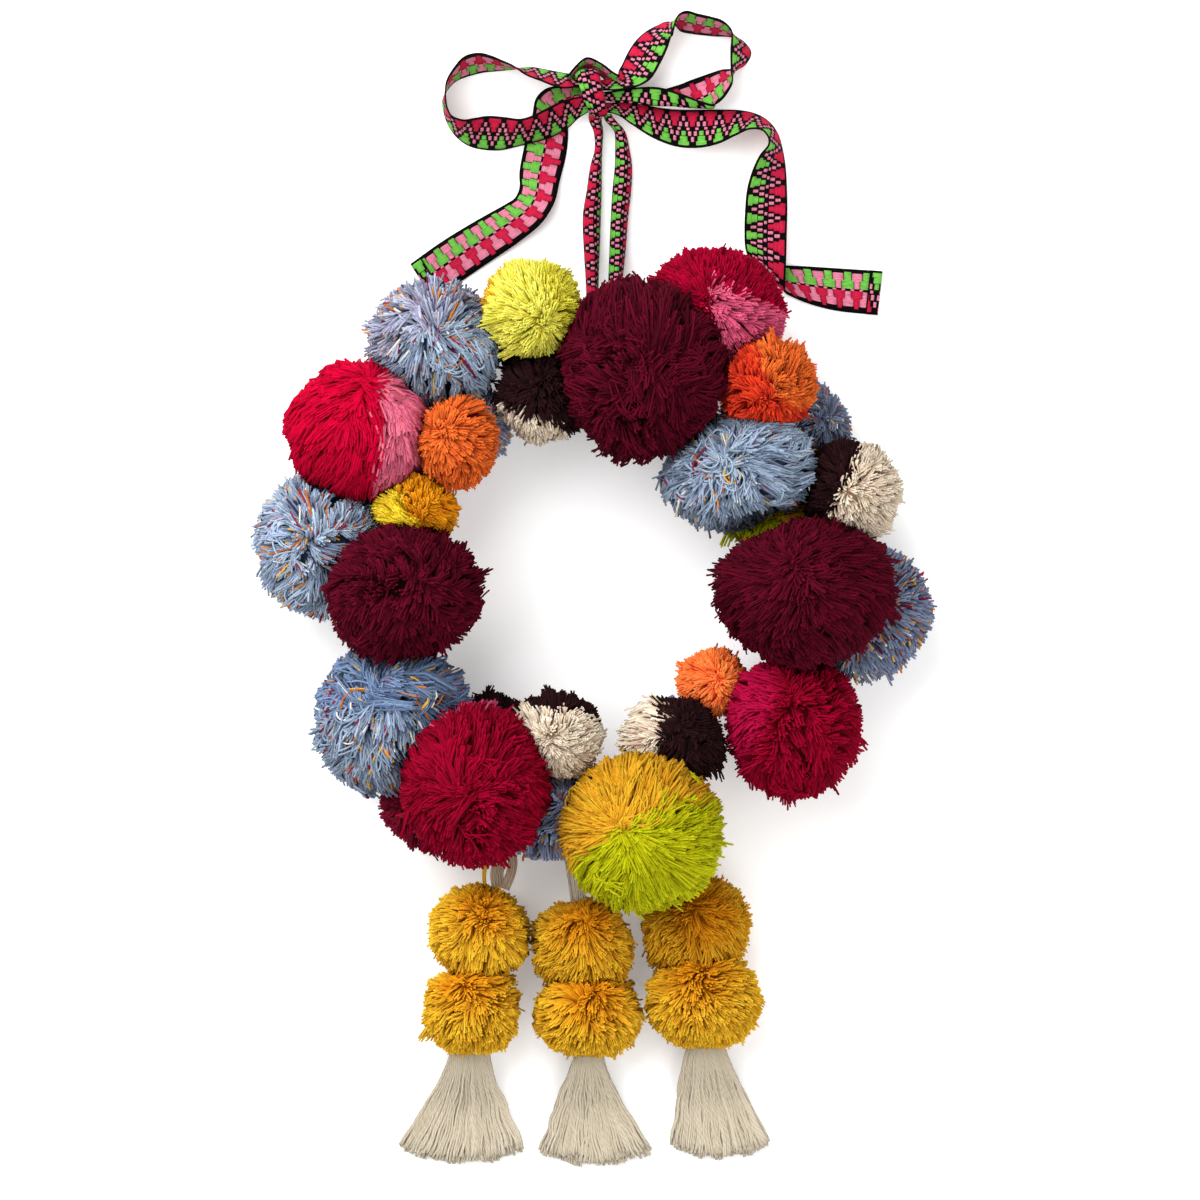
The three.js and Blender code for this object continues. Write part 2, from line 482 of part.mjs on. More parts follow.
// One strand: it leaves the neck, sinks to its layer and runs out to the fringe's lower edge.
function fringeStrand(fringe, layer, index) {
  const place = (index + 0.5) / layer.strands;
  const seed = fringe.neckX + layer.bottom * 7 + index;
  const neckX = fringe.neckX + (place - 0.5) * fringe.neck * fringeRoots;
  const endX = THREE.MathUtils.lerp(fringe.endLeft, fringe.endRight, place);
  const curve = 4 * (place - 0.5) ** 2;
  const endY = fringe.endY + layer.shorter + 7 * curve + scatter(seed) * 3;
  const pitchEnd = (fringe.endRight - fringe.endLeft) / layer.strands;
  const pitchNeck = fringe.neck * fringeRoots / layer.strands;
  const rootY = fringe.neckY - fringeHead.deep * 0.45;
  return bentBox(fringeSteps, 1, (along, across, through) => {
    const spread = along ** 0.85;
    const settle = Math.min(1, along * fringeSettle);
    const width = fringeSplit * THREE.MathUtils.lerp(pitchNeck, pitchEnd * 0.92, spread);
    const tall = THREE.MathUtils.lerp(1.6, layer.tall, settle) * (along > 0.9 ? 0.8 : 1);
    const rootZ = fringeHead.middle + (layer.bottom > 0 ? 1.4 : -1.6);
    const bottom = THREE.MathUtils.lerp(rootZ, layer.bottom, settle);
    return new THREE.Vector3(
      THREE.MathUtils.lerp(neckX, endX, spread) + (across - 0.5) * width,
      THREE.MathUtils.lerp(rootY, endY, along),
      bottom + (through + 0.5) * tall,
    );
  });
}

function fringeGeometry(fringe) {
  const pieces = [fringeHeadGeometry(fringe)];
  for (const layer of fringeLayers) {
    for (let index = 0; index < layer.strands; index += 1) {
      pieces.push(fringeStrand(fringe, layer, index));
    }
  }
  return union(pieces);
}

// The ribbon follows two edges that run through its rows; its thickness is laid to both sides
// of the face between them.
function ribbonGeometry(rows) {
  const lower = [];
  const upper = [];
  for (const row of rows) {
    const wide = row.wide ?? ribbonWidth;
    const across = Math.hypot(row.hx - row.fx, row.hy - row.fy);
    const rise = row.rise ?? Math.sqrt(Math.max(0, wide ** 2 - across ** 2));
    lower.push(new THREE.Vector3(row.fx, row.fy, row.low));
    upper.push(new THREE.Vector3(row.hx, row.hy, row.low + rise));
  }
  const lowerEdge = new THREE.CatmullRomCurve3(lower, false, 'centripetal');
  const upperEdge = new THREE.CatmullRomCurve3(upper, false, 'centripetal');
  const middleAt = (along) => lowerEdge.getPoint(along).lerp(upperEdge.getPoint(along), 0.5);
  const reach = 0.004;
  return bentBox(rows.length - 1, 1, (along, across, through) => {
    const low = lowerEdge.getPoint(along);
    const high = upperEdge.getPoint(along);
    const ahead = middleAt(Math.min(1, along + reach)).sub(middleAt(Math.max(0, along - reach)));
    const out = new THREE.Vector3().crossVectors(ahead, high.clone().sub(low)).normalize();
    return low.lerp(high, across).addScaledVector(out, through * ribbonThickness);
  });
}

// Section of a hanging strand, from its left lower edge over the ridge to its right one.
function hangerGeometry(rows) {
  const curve = (key) => new THREE.CatmullRomCurve3(
    rows.map((row) => new THREE.Vector3(row[key], row.y, row.ridge)), false, 'centripetal');
  const leftSide = curve('left');
  const rightSide = curve('right');
  const sectionAngle = Math.PI * 1.1;
  return bentBox(rows.length - 1, 4, (along, across, through) => {
    const left = leftSide.getPoint(along);
    const right = rightSide.getPoint(along);
    const angle = (across - 0.5) * sectionAngle;
    const half = (right.x - left.x) / 2 - ribbonThickness / 2 + through * ribbonThickness;
    const drop = gutterDrop - ribbonThickness / 2 + through * ribbonThickness;
    const edge = Math.sin(angle);
    return new THREE.Vector3(
      (left.x + right.x) / 2 + edge * half,
      left.y,
      left.z - gutterDrop + Math.cos(angle) * drop,
    );
  });
}

// The knot: a gathered bundle that runs sideways, with the band of ribbon round it.
function knotGeometry() {
  const middleX = (knot.left + knot.right) / 2;
  const middleY = (knot.low + knot.high) / 2;
  const middleZ = (knot.bottom + knot.top) / 2;
  const halfY = (knot.high - knot.low) / 2;
  const halfZ = (knot.top - knot.bottom) / 2;
  const sides = 14;
  const steps = 6;
  const ring = bareGeometry(new THREE.CylinderGeometry(1, 1, 1, sides, steps, false));
  const position = ring.attributes.position;
  for (let i = 0; i < position.count; i += 1) {
    const along = position.getY(i);
    const angle = Math.atan2(position.getZ(i), position.getX(i));
    const radial = Math.hypot(position.getX(i), position.getZ(i));
    const inBand = along > -0.36 && along < 0.3;
    const crease = 1 + 0.05 * Math.cos(angle * 5 + along * 3);
    const size = radial * crease * (inBand ? 1 : 0.84);
    const x = middleX + along * (knot.right - knot.left);
    const behind = Math.max(0, -Math.cos(angle)) * radial;
    const hump = knotHump.rise * behind * Math.exp(-(((x - knotHump.x) / knotHump.wide) ** 2));
    position.setXYZ(
      i,
      x,
      middleY - Math.cos(angle) * halfY * size * 0.95 + hump,
      middleZ + Math.sin(angle) * halfZ * size * 0.95,
    );
  }
  return ring;
}

const group = new THREE.Group();

function addPiece(name, geometry, colour, roughness, position) {
  const material = new THREE.MeshStandardMaterial({ color: colour, roughness, metalness: 0 });
  const mesh = new THREE.Mesh(geometry, material);
  mesh.name = name;
  if (position) mesh.position.copy(position);
  group.add(mesh);
}

for (const pompom of allPompoms) {
  addPiece(pompom.name, pompomGeometry(pompom), colours[pompom.yarn], 0.95, middleOf(pompom));
}
for (const fringe of fringes) addPiece(fringe.name, fringeGeometry(fringe), colours.cream, 0.9);
for (const tie of ties) addPiece(tie.name, tieGeometry(tie), colours.cream, 0.9);
addPiece('ribbon_knot', knotGeometry(), colours.ribbonPink, 0.7);
addPiece('ribbon_loop_left', ribbonGeometry(loopLeftRows), colours.ribbonPink, 0.7);
addPiece('ribbon_loop_right', ribbonGeometry(loopRightRows), colours.ribbonPink, 0.7);
addPiece('ribbon_tail_left', ribbonGeometry(tailLeftRows), colours.ribbonBlack, 0.7);
addPiece('ribbon_tail_right', ribbonGeometry(tailRightRows), colours.ribbonBlack, 0.7);
addPiece('ribbon_hanger_left', hangerGeometry(hangerLeftRows), colours.ribbonPink, 0.7);
addPiece('ribbon_hanger_right', hangerGeometry(hangerRightRows), colours.ribbonPink, 0.7);

const bounds = new THREE.Box3().setFromObject(group, true);
const centre = bounds.getCenter(new THREE.Vector3());
group.position.set(-centre.x, -centre.y, -bounds.min.z);

export default group;
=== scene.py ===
import math
import bmesh
import bpy
import numpy as np
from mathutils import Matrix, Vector
from mathutils.bvhtree import BVHTree


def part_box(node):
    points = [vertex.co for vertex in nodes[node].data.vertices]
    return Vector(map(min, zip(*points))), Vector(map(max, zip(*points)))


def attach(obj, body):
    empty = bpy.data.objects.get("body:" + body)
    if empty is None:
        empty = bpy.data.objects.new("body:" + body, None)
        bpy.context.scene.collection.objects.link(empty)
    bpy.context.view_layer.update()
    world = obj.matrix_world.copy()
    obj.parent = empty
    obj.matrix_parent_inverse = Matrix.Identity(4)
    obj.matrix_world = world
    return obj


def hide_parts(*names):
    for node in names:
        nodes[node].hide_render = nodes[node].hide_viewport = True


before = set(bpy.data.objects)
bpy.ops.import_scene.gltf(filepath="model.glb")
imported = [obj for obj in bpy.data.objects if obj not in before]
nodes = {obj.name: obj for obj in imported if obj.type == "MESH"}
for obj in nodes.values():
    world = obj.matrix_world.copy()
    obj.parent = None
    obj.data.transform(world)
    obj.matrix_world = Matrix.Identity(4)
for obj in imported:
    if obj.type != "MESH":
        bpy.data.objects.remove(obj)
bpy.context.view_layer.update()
mm = 0.001
up = (0, 0, 1)
print("frame loaded:", len(nodes), "solids")


def calculation(operation, turned=False):
    # a method of Value that adds a Math node; turned is for an operator's reflected form
    def method(self, *others):
        values = (*others, self) if turned else (self, *others)
        return self.shader.node("ShaderNodeMath", {"operation": operation}, values)
    return method


class Value:
    # a socket whose number can be written into sums, products and comparisons
    def __init__(self, shader, socket):
        self.shader = shader
        self.socket = socket

    __add__ = calculation("ADD")
    __radd__ = calculation("ADD", True)
    __sub__ = calculation("SUBTRACT")
    __rsub__ = calculation("SUBTRACT", True)
    __mul__ = calculation("MULTIPLY")
    __rmul__ = calculation("MULTIPLY", True)
    __truediv__ = calculation("DIVIDE")
    __rtruediv__ = calculation("DIVIDE", True)
    __pow__ = calculation("POWER")
    __lt__ = calculation("LESS_THAN")
    fraction = calculation("FRACT")
    size = calculation("ABSOLUTE")
    wave = calculation("SINE")
    larger = calculation("MAXIMUM")


class Shader:
    # one material and the nodes that are added to it
    def __init__(self, name, roughness):
        self.material = bpy.data.materials.new(name)
        self.material.use_nodes = True
        self.tree = self.material.node_tree
        self.surface = self.tree.nodes["Principled BSDF"]
        self.surface.inputs["Roughness"].default_value = roughness
        self.surface.inputs["Specular IOR Level"].default_value = 0.04  # wool and cotton are dull

    def node(self, kind, settings, values, output=0):
        made = self.tree.nodes.new(kind)
        for key, value in settings.items():
            setattr(made, key, value)
        pairs = values.items() if isinstance(values, dict) else enumerate(values)
        for key, value in pairs:
            if isinstance(value, Value):
                self.tree.links.new(value.socket, made.inputs[key])
            else:
                made.inputs[key].default_value = value
        return Value(self, made.outputs[output])

    def uvMap(self, layer):
        # a UV map as a vector, and its two numbers
        place = self.node("ShaderNodeUVMap", {"uv_map": layer}, [])
        u = self.node("ShaderNodeSeparateXYZ", {}, [place])
        return place, u, Value(self, u.socket.node.outputs[1])

    def mix(self, amount, first, second):
        # sockets 6 and 7 are the two colours of a colour mix, and output 2 is its result
        return self.node("ShaderNodeMix", {"data_type": "RGBA"}, {0: amount, 6: first, 7: second}, 2)

    def tint(self, colour, amount):
        # colour times a number
        grey = self.node("ShaderNodeCombineXYZ", {}, [amount, amount, amount])
        return self.node("ShaderNodeVectorMath", {"operation": "MULTIPLY"}, [colour, grey])

    def paint(self, socket, value):
        self.tree.links.new(value.socket, self.surface.inputs[socket])

    def raised(self, height, distance, strength):
        values = {"Height": height, "Distance": distance, "Strength": strength}
        self.paint("Normal", self.node("ShaderNodeBump", {}, values))


def linear(code):
    # a colour written as on a colour chart, in the light values that shaders use
    parts = [int(code[i:i + 2], 16) / 255 for i in (0, 2, 4)]
    return [p / 12.92 if p < 0.04045 else ((p + 0.055) / 1.055) ** 2.4 for p in parts]


yarns = {  # each yarn as on a colour chart: at the root, darkened with painted shade, and at the cut end, lit
    "maroon": ("1c0208", "620b22"),
    "red": ("78000f", "d40038"),
    "crimson": ("52000c", "a0002b"),
    "rose": ("900030", "b0103e"),
    "pink": ("64042a", "da587c"),
    "palePink": ("6c0430", "fa7c98"),
    "orange": ("80100c", "f87630"),
    "redOrange": ("8c0812", "e84222"),
    "paleOrange": ("ea401c", "ff8844"),
    "yellow": ("b0a400", "f2ec66"),
    "lime": ("6c6400", "c8ca14"),
    "chartreuse": ("947c00", "f0e84c"),
    "honey": ("b88a00", "f4d838"),
    "mustard": ("a05800", "e2b02c"),
    "gold": ("a45c00", "f2c030"),
    "amber": ("a04e00", "ec9c1a"),
    "flax": ("85705f", "c0a890"),
    "blue": ("313d56", "b2c5dc"),
    "duskBlue": ("222b44", "8ca6cc"),
    "lavender": ("34364c", "b8bcd4"),
    # greyBlue is the blue yarn made greyer and darker, as painted shade for the balls that lie low at
    # the back
    "greyBlue": ("2e3448", "8c98b4"),
    "brown": ("0c0506", "2c1517"),
    "cream": ("b4977c", "ecdec8"),
    "burgundy": ("34040e", "80142e"),
    "fringe": ("b4a891", "cabfab"),
}
flecks = ["b5632a", "d6a63a", "6b1230", "e8dcc8", "c9812e", "3a3450", "8a2a3c"]

# Cut yarn. Lengths are in mm.
yarn = {
    "tip": 0.66,  # half thickness of a long strand at its cut end
    "root": 0.78,
    "short": 0.85,  # how thick a short, straight strand is next to a long one
    "behind": 1.4,  # and a strand of a ball at the back
    "under": 1.5,  # and one on the side that lies down
    "ply": 3.8,  # length of one twist
    "spacing": 1.73,  # between cut ends
    "shortSpacing": 1.47,
    "backSpacing": 3.0,
    "underSide": -0.3,  # the side that lies down is lower than this share of the radius
    "underShare": 0.26,  # share of the strands kept there
    "contact": 0.45,  # no strand where another ball lies closer than this
    "beside": 3.0,  # and none shorter than the ball where one is closer than this
    "coreGap": 5.0,  # how far the inner ball stays under the cut ends
    "coreTouch": 1.0,  # and where another ball touches
    "coreLeast": 0.5,  # and its least share of the radius
    "coreFine": 31,  # a larger ball has a finer one
    # painted shade: the inside takes this share of the roots' colour
    "coreDark": 0.6,
    "seamRound": 3.6,  # how square a ball is where it is sewn to the next one
    "bumpNarrow": 6,
    "floor": 0.8,  # no strand lies lower
}

usual = dict(parts=[], lean=0.3, unruly=0.3, lie=1.2, rings=2, tuft=5.0, loose=0, flecked=0,
    bumps=[], seam=(0, 0, 0), tone=1, full=False)
tasselYarn = dict(yarn="gold", heart="amber")
toLower, toUpper = (0, -1, 0), (0, 1, 0)
# What is unusual about a ball. Directions are from its middle.
# yarn: its main yarn. parts: yarns of its other parts, each with the planes that a part lies
#   beyond, as a direction and a share of the radius. heart: the yarn about its crown, given
#   deeper colours as painted shade where the strands part.
# crown: where the strands part; balls at the back have none. lean: how far they lean away from
#   it. unruly: how untidy they are. lie: how flat they lie. rings: rings of a strand, 2 for
#   short and straight yarn.
# tuft: distance between the middles of two tufts, in mm. loose: locks that lie over the ball.
#   flecked: share of flecked strands.
# bumps: swellings and hollows, as a direction and a share of the radius. seam: the side that
#   is sewn to the next ball. tone: lighter or darker. full: strands also where a ball touches.
looks = {
    "pom01_yellow": dict(yarn="yellow",
        parts=[("chartreuse", [((0.85, 0.3, 0.0), 0.42)]), ("mustard", [((-0.85, 0.3, -0.35), 0.72)])],
        crown=(0.26, -0.34, 0.9), lean=0.42, unruly=0.2),
    "pom02_brown_white": dict(yarn="brown", parts=[("cream", [((-0.3, -0.92, -0.12), 0.44)])],
        crown=(0.2, 0.5, 0.8), bumps=[((-1, 0.15, 0), 0.1)]),
    "pom03_maroon": dict(yarn="maroon", crown=(-0.12, -0.2, 0.96), lean=0.45, unruly=0.85, lie=1.4,
        rings=4, tuft=7, loose=14, bumps=[((0.5, -0.86, 0), -0.06)], tone=0.96),
    "pom04_red_pink": dict(yarn="crimson",
        parts=[("pink", [((1, 0, 0), -0.12), ((-0.45, -0.89, 0), -0.42)])], crown=(-0.15, -0.05, 0.98),
        lean=0.5, unruly=0.35, tone=1.24),
    "pom05_orange": dict(yarn="redOrange", parts=[("orange", [((0.75, 0.5, 0.3), 0.3)])],
        crown=(-0.12, -0.5, 0.85), lean=0.35, unruly=0.35, bumps=[((-0.8, -0.6, 0), 0.12)]),
    "pom06_blue": dict(yarn="greyBlue", crown=(0.3, 0.2, 0.9), lean=0.5, unruly=0.4, flecked=0.08,
        bumps=[((0.8, 0.5, 0), -0.08)]),
    "pom07_blue": dict(yarn="blue", crown=(-0.3, 0.25, 0.92), lean=0.85, unruly=0.9, lie=1.6, rings=4,
        tuft=8, loose=22, flecked=0.05,
        bumps=[((0.5, -0.85, 0.15), -0.4), ((0.25, -0.95, 0.2), -0.2), ((-0.2, 0.97, 0), 0.09)],
        tone=0.93),
    "pom08_brown_cream": dict(yarn="brown", parts=[("cream", [((0.9, -0.44, 0), -0.22)])],
        crown=(-0.1, 0.04, 0.99), lean=0.35, tone=0.94),
    "pom09_lime": dict(yarn="lime", parts=[("mustard", [((0.9, 0.3, 0), 0.35)])],
        crown=(0.1, 0.2, 0.97), bumps=[((-0.1, 0.5, 0.86), 0.42)], tone=1.15, full=True),
    "pom10_maroon": dict(yarn="maroon", crown=(-0.3, 0.35, 0.88), lean=0.55, unruly=0.75, lie=1.4,
        rings=3, tuft=6, loose=6, bumps=[((-0.5, 0.85, 0), -0.06)]),
    "pom11_blue": dict(yarn="greyBlue", crown=(-0.4, 0.2, 0.9), lean=0.6, unruly=0.5, rings=3,
        flecked=0.16, tone=0.94),
    "pom12_red_pink": dict(yarn="crimson", parts=[("rose", [((-0.92, 0.32, 0.1), 0.55)])],
        crown=(-0.05, 0.5, 0.86), lean=0.5, unruly=0.7, rings=3, tuft=6, loose=3,
        bumps=[((-0.85, 0.5, 0), 0.06), ((0.8, -0.5, 0), -0.04)], tone=0.95),
    "pom13_orange": dict(yarn="paleOrange", crown=(0.2, 0.1, 0.97), lean=0.35, unruly=0.2,
        bumps=[((-0.7, 0.7, 0), -0.1)], tone=1.18),
    "pom14_brown_white": dict(yarn="brown", parts=[("cream", [((-0.95, -0.05, 0.0), 0.4)])],
        crown=(0.1, 0.1, 0.98), unruly=0.4, tone=1.1),
    "pom15_mustard_lime": dict(yarn="mustard", parts=[("lime", [((0.45, -0.84, 0.3), 0.02)])],
        crown=(-0.28, 0.12, 0.95), lean=0.8, unruly=0.35, lie=1.5, rings=4, loose=5,
        bumps=[((0, 1, 0.1), 0.05)], tone=0.94),
    "pom16_cream_brown": dict(yarn="cream", parts=[("brown", [((0.2, 0.92, -0.3), 0.36)])],
        crown=(-0.35, -0.25, 0.9), lean=0.35, unruly=0.25, tone=1.12),
    "pom17_blue": dict(yarn="greyBlue", crown=(0.1, 0.3, 0.95), lean=0.5, unruly=0.5, rings=3,
        flecked=0.2, tone=1.4),
    "pom18_red": dict(yarn="crimson", parts=[("pink", [((-0.35, 0.62, -0.7), 0.62)])],
        crown=(-0.2, -0.1, 0.97), lean=0.5, unruly=0.7, rings=3, tuft=6, loose=3, tone=0.95),
    "pom19_burgundy": dict(yarn="burgundy", crown=(0.2, 0.3, 0.9), lean=0.35,
        bumps=[((-0.6, -0.75, 0), -0.13)]),
    "pom20_blue": dict(yarn="duskBlue", parts=[("blue", [((-0.3, -0.9, 0.3), 0.3)])],
        crown=(-0.15, 0.35, 0.93), lean=0.85, unruly=0.85, lie=1.6, rings=4, tuft=8, loose=18,
        flecked=0.12, bumps=[((0.75, 0.62, 0), 0.16), ((-0.5, 0.85, 0), 0.1)], tone=0.85),
    "pom21_maroon": dict(yarn="maroon", crown=(0.3, 0.1, 0.94), lean=0.5, unruly=0.65, rings=3, tuft=6,
        loose=3, bumps=[((-0.6, -0.75, -0.1), 0.06)]),
    "pom22_mustard": dict(yarn="amber", parts=[("honey", [((-0.8, -0.3, 0.1), 0.3)])],
        crown=(0.1, -0.3, 0.95), lean=0.35),
    "pom23_blue": dict(yarn="blue", crown=(0.05, 0.15, 0.98), lean=0.7, unruly=0.75, lie=1.5, rings=4,
        tuft=7, loose=12, flecked=0.15),
    "pom24_red_pink": dict(yarn="red", parts=[("palePink", [((0.98, -0.14, 0.0), 0.4)])],
        crown=(0.22, 0.75, 0.62), lean=0.95, lie=1.8, rings=4, tuft=6,
        bumps=[((-0.75, 0.6, 0.2), -0.09)], tone=0.95),
    "pom25_orange": dict(yarn="orange", crown=(-0.55, 0.35, 0.75), lean=0.4),
    "pom26_blue": dict(yarn="lavender", parts=[("blue", [((0.5, -0.6, 0.3), 0.1)])],
        crown=(0.02, 0.28, 0.96), lean=0.75, unruly=0.85, lie=1.5, rings=4, tuft=8.5, loose=18,
        flecked=0.13, bumps=[((0.88, -0.46, 0.1), 0.12), ((-0.6, 0.6, 0), 0.03)]),
    "pom27_blue": dict(yarn="lavender", crown=up, lean=0.4, unruly=0.4, flecked=0.15, tone=0.8),
    # painted shade: this maroon ball, deep behind the others, is given the darkest yarn
    "pom28_maroon": dict(yarn="brown", crown=up),
    "back01_maroon": dict(yarn="maroon"),
    "back02_blue": dict(yarn="blue"),
    "back03_mustard": dict(yarn="mustard"),
    "back04_red": dict(yarn="red"),
    "back05_cream": dict(yarn="cream"),
    "back06_red": dict(yarn="red"),
    "back07_pink": dict(yarn="pink"),
    "back08_blue": dict(yarn="greyBlue", bumps=[((0, 1, 0), -0.16), ((-0.8, 0.6, 0), -0.12)]),
    "back09_brown": dict(yarn="brown"),
    "tassel_left_pom_top": dict(tasselYarn, crown=(0.15, 0.55, 0.82), lean=0.45, seam=toLower,
        tone=1.2),
    "tassel_left_pom_low": dict(tasselYarn, crown=(-0.05, 0.75, 0.65), lean=0.5, seam=toUpper),
    "tassel_mid_pom_top": dict(tasselYarn, crown=(0.05, 0.55, 0.83), lean=0.5, unruly=0.35,
        bumps=[((0.9, 0.3, 0), -0.08)], seam=toLower),
    "tassel_mid_pom_low": dict(tasselYarn, crown=(0.1, 0.6, 0.8), lean=0.5, seam=toUpper),
    # painted shadow: tone 0.68 darkens this ball where the mustard and lime ball above shades it
    "tassel_right_pom_top": dict(tasselYarn, crown=(0.1, 0.3, 0.94), lean=0.45, unruly=0.35,
        seam=toLower, tone=0.68),
    "tassel_right_pom_low": dict(tasselYarn, crown=(-0.1, 0.7, 0.7), lean=0.5, seam=toUpper),
}


# The yarn's material: what each of its parts adds to its light, and how far the twist is raised.
wool = {
    "rough": 0.95,
    "base": 0.6,
    "ridge": 0.34,  # painted highlight along the top of a strand and painted shade at its sides
    "twist": 0.12,
    "fuzz": 0.3,
    "fuzzFine": 1400.0,
    "raised": 0.0003,
    "bump": 0.4,
}


def yarnShader():
    # colours lie on the strands; the twist of the plies runs round each of them, and a painted
    # highlight runs along the top of each
    shader = Shader("woolYarn", wool["rough"])
    colour = shader.node("ShaderNodeAttribute", {"attribute_name": "yarnColour"}, [])
    _, around, along = shader.uvMap("strand")
    twist = ((around * 2 + along) * (2 * math.pi)).wave()
    # painted highlight along the top of each strand and painted shade at its sides
    ridge = (around * (2 * math.pi) + math.pi / 2).wave()
    fuzz = shader.node("ShaderNodeTexNoise", {}, {"Scale": wool["fuzzFine"], "Detail": 2.0})
    light = wool["base"] + ridge * wool["ridge"] + twist * wool["twist"] + fuzz * wool["fuzz"]
    shader.paint("Base Color", shader.tint(colour, light))
    shader.raised(twist, wool["raised"], wool["bump"])
    return shader.material


woolMaterial = yarnShader()


def unit(vectors):
    return vectors / np.maximum(np.linalg.norm(vectors, axis=-1, keepdims=True), 1e-9)


def drift(points, rng, fineness, waves=9):
    # smooth, irregular vectors over space, so that neighbouring strands go the same way
    total = np.zeros_like(points)
    for _ in range(waves):
        run = rng.normal(size=3) * fineness
        total += np.sin(points @ run + rng.uniform(0, 2 * math.pi))[:, None] * rng.normal(size=3)
    return total / math.sqrt(waves)


def solidTree(names):
    # these solids in one tree, and the owner of each of its faces
    points, faces, owners = [], [], []
    for name in names:
        mesh, first = nodes[name].data, len(points)
        points += [v.co.copy() for v in mesh.vertices]
        faces += [[first + v for v in face.vertices] for face in mesh.polygons]
        owners += [name] * len(mesh.polygons)
    return BVHTree.FromPolygons(points, faces), owners


allSolids, faceOwners = solidTree(nodes)


def middleOf(node):
    # middle of the volume, from the tetrahedra between each triangle and one point inside
    mesh = node.data
    points = np.array([v.co for v in mesh.vertices])
    corners = points[np.array([p.vertices for p in mesh.polygons])]
    start = points.mean(axis=0)
    a, b, c = (corners[:, i] - start for i in range(3))
    volumes = np.einsum("ij,ij->i", a, np.cross(b, c))
    return start + ((a + b + c) / 4 * volumes[:, None]).sum(axis=0) / volumes.sum()


class Ball:
    # the solid that a pompom's strands are grown in
    def __init__(self, name, look):
        self.name = name
        self.bumps, self.seam = look["bumps"], look["seam"]
        self.tree, _ = solidTree([name])
        self.middle = middleOf(nodes[name])
        low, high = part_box(name)
        self.radius = (high - low).length / 2 / math.sqrt(3)

    def swelling(self, directions):
        # what its bumps and the seam, where it is pressed against the next ball, make of it
        more = np.ones(len(directions))
        for side, share in self.bumps:
            facing = np.maximum(0, directions @ unit(np.array([side], float))[0])
            more += share * facing ** yarn["bumpNarrow"]
        toSeam = np.clip(directions @ np.array(self.seam, float), 0, 1)
        square = yarn["seamRound"]
        return more * (toSeam ** square + (1 - toSeam ** 2) ** (square / 2)) ** (-1 / square)

    def reaches(self, directions):
        # how far it reaches along each direction, whether another piece touches it there, and
        # whether one is near
        start = Vector(self.middle)
        reach = np.zeros(len(directions))
        touched = np.ones(len(directions), bool)
        beside = np.zeros(len(directions), bool)
        for i, direction in enumerate(directions):
            hit, _, _, far = self.tree.ray_cast(start, Vector(direction))
            if hit is None:
                continue
            reach[i] = far
            near = allSolids.find_nearest_range(hit, yarn["beside"] * mm)
            gaps = [found[3] for found in near if faceOwners[found[2]] != self.name]
            touched[i] = bool(gaps) and min(gaps) < yarn["contact"] * mm
            beside[i] = bool(gaps)
        return reach * self.swelling(directions), touched, beside


def evenDirections(count, rng, untidy=0.5):
    # points spread evenly over a sphere, a little out of line
    i = np.arange(count)
    z = 1 - (2 * i + 1) / count
    turn = i * math.pi * (3 - math.sqrt(5))
    flat = np.sqrt(1 - z * z)
    spread = np.stack([np.cos(turn) * flat, np.sin(turn) * flat, z], axis=1)
    return unit(spread + rng.normal(size=spread.shape) * untidy / math.sqrt(count))


def partOf(look, directions):
    # which of the ball's yarns a direction has: 0 is the main one
    chosen = np.zeros(len(directions), int)
    for number, (_, planes) in enumerate(look["parts"], 1):
        inside = np.ones(len(directions), bool)
        for normal, share in planes:
            inside &= directions @ np.array(normal, float) > share
        chosen[inside] = number
    return chosen


def yarnNames(look):
    return [look["yarn"]] + [part[0] for part in look["parts"]]


colouring = {
    "mingle": 0.06,  # how far strands stray over the line between two yarns
    "rootLight": 0.12,  # how much of the light end's colour a root has; the darker rest is painted shade
    "dyeShift": 0.035,  # how much the dye differs from strand to strand
    "heartEdge": 0.5,  # where the heart's painted shade begins, and how far in it is full
    "heartFade": 0.45,
    "wholeFlecks": 0.8,  # of the flecked share, the strands dyed whole and those dyed at one ring
    "partFlecks": 0.4,
}


def strandColours(look, directions, rings, shade, rng):
    # a colour for each ring of each strand, from its root, darkened with painted shade, to its light
    # end
    ends = np.array([[linear(code) for code in yarns[name]] for name in yarnNames(look)])
    astray = rng.normal(size=directions.shape) * colouring["mingle"]
    chosen = partOf(look, directions + astray)
    deep, light = ends[chosen, 0][:, None], ends[chosen, 1][:, None]
    # painted shade: deeper colours about the crown, where the strands part
    if "heart" in look:
        heart = [np.array(linear(code)) for code in yarns[look["heart"]]]
        crown = unit(np.array([look["crown"]], float))[0]
        inward = (directions @ crown - colouring["heartEdge"]) / colouring["heartFade"]
        near = np.clip(inward, 0, 1)[:, None, None]
        deep, light = deep + (heart[0] - deep) * near, light + (heart[1] - light) * near
    shade = shade * look["tone"]
    # painted shade: each strand darker towards its root, deep among the others
    ripe = np.linspace(colouring["rootLight"], 1.0, rings)[None, :, None] * shade[:, None, None]
    colours = deep + (light - deep) * ripe
    colours = colours * (1 + rng.normal(size=(len(directions), 1, 3)) * colouring["dyeShift"])
    share = look["flecked"]
    if share:
        dyed = np.array([linear(code) for code in flecks])
        whole = np.where(rng.random(len(directions)) < share * colouring["wholeFlecks"])[0]
        colours[whole] = dyed[rng.integers(0, len(dyed), len(whole))][:, None]
        for row in np.where(rng.random(len(directions)) < share * colouring["partFlecks"])[0]:
            first = rng.integers(0, rings)
            colours[row, first] = dyed[rng.integers(0, len(dyed))]
    return np.clip(colours, 0.001, 1)


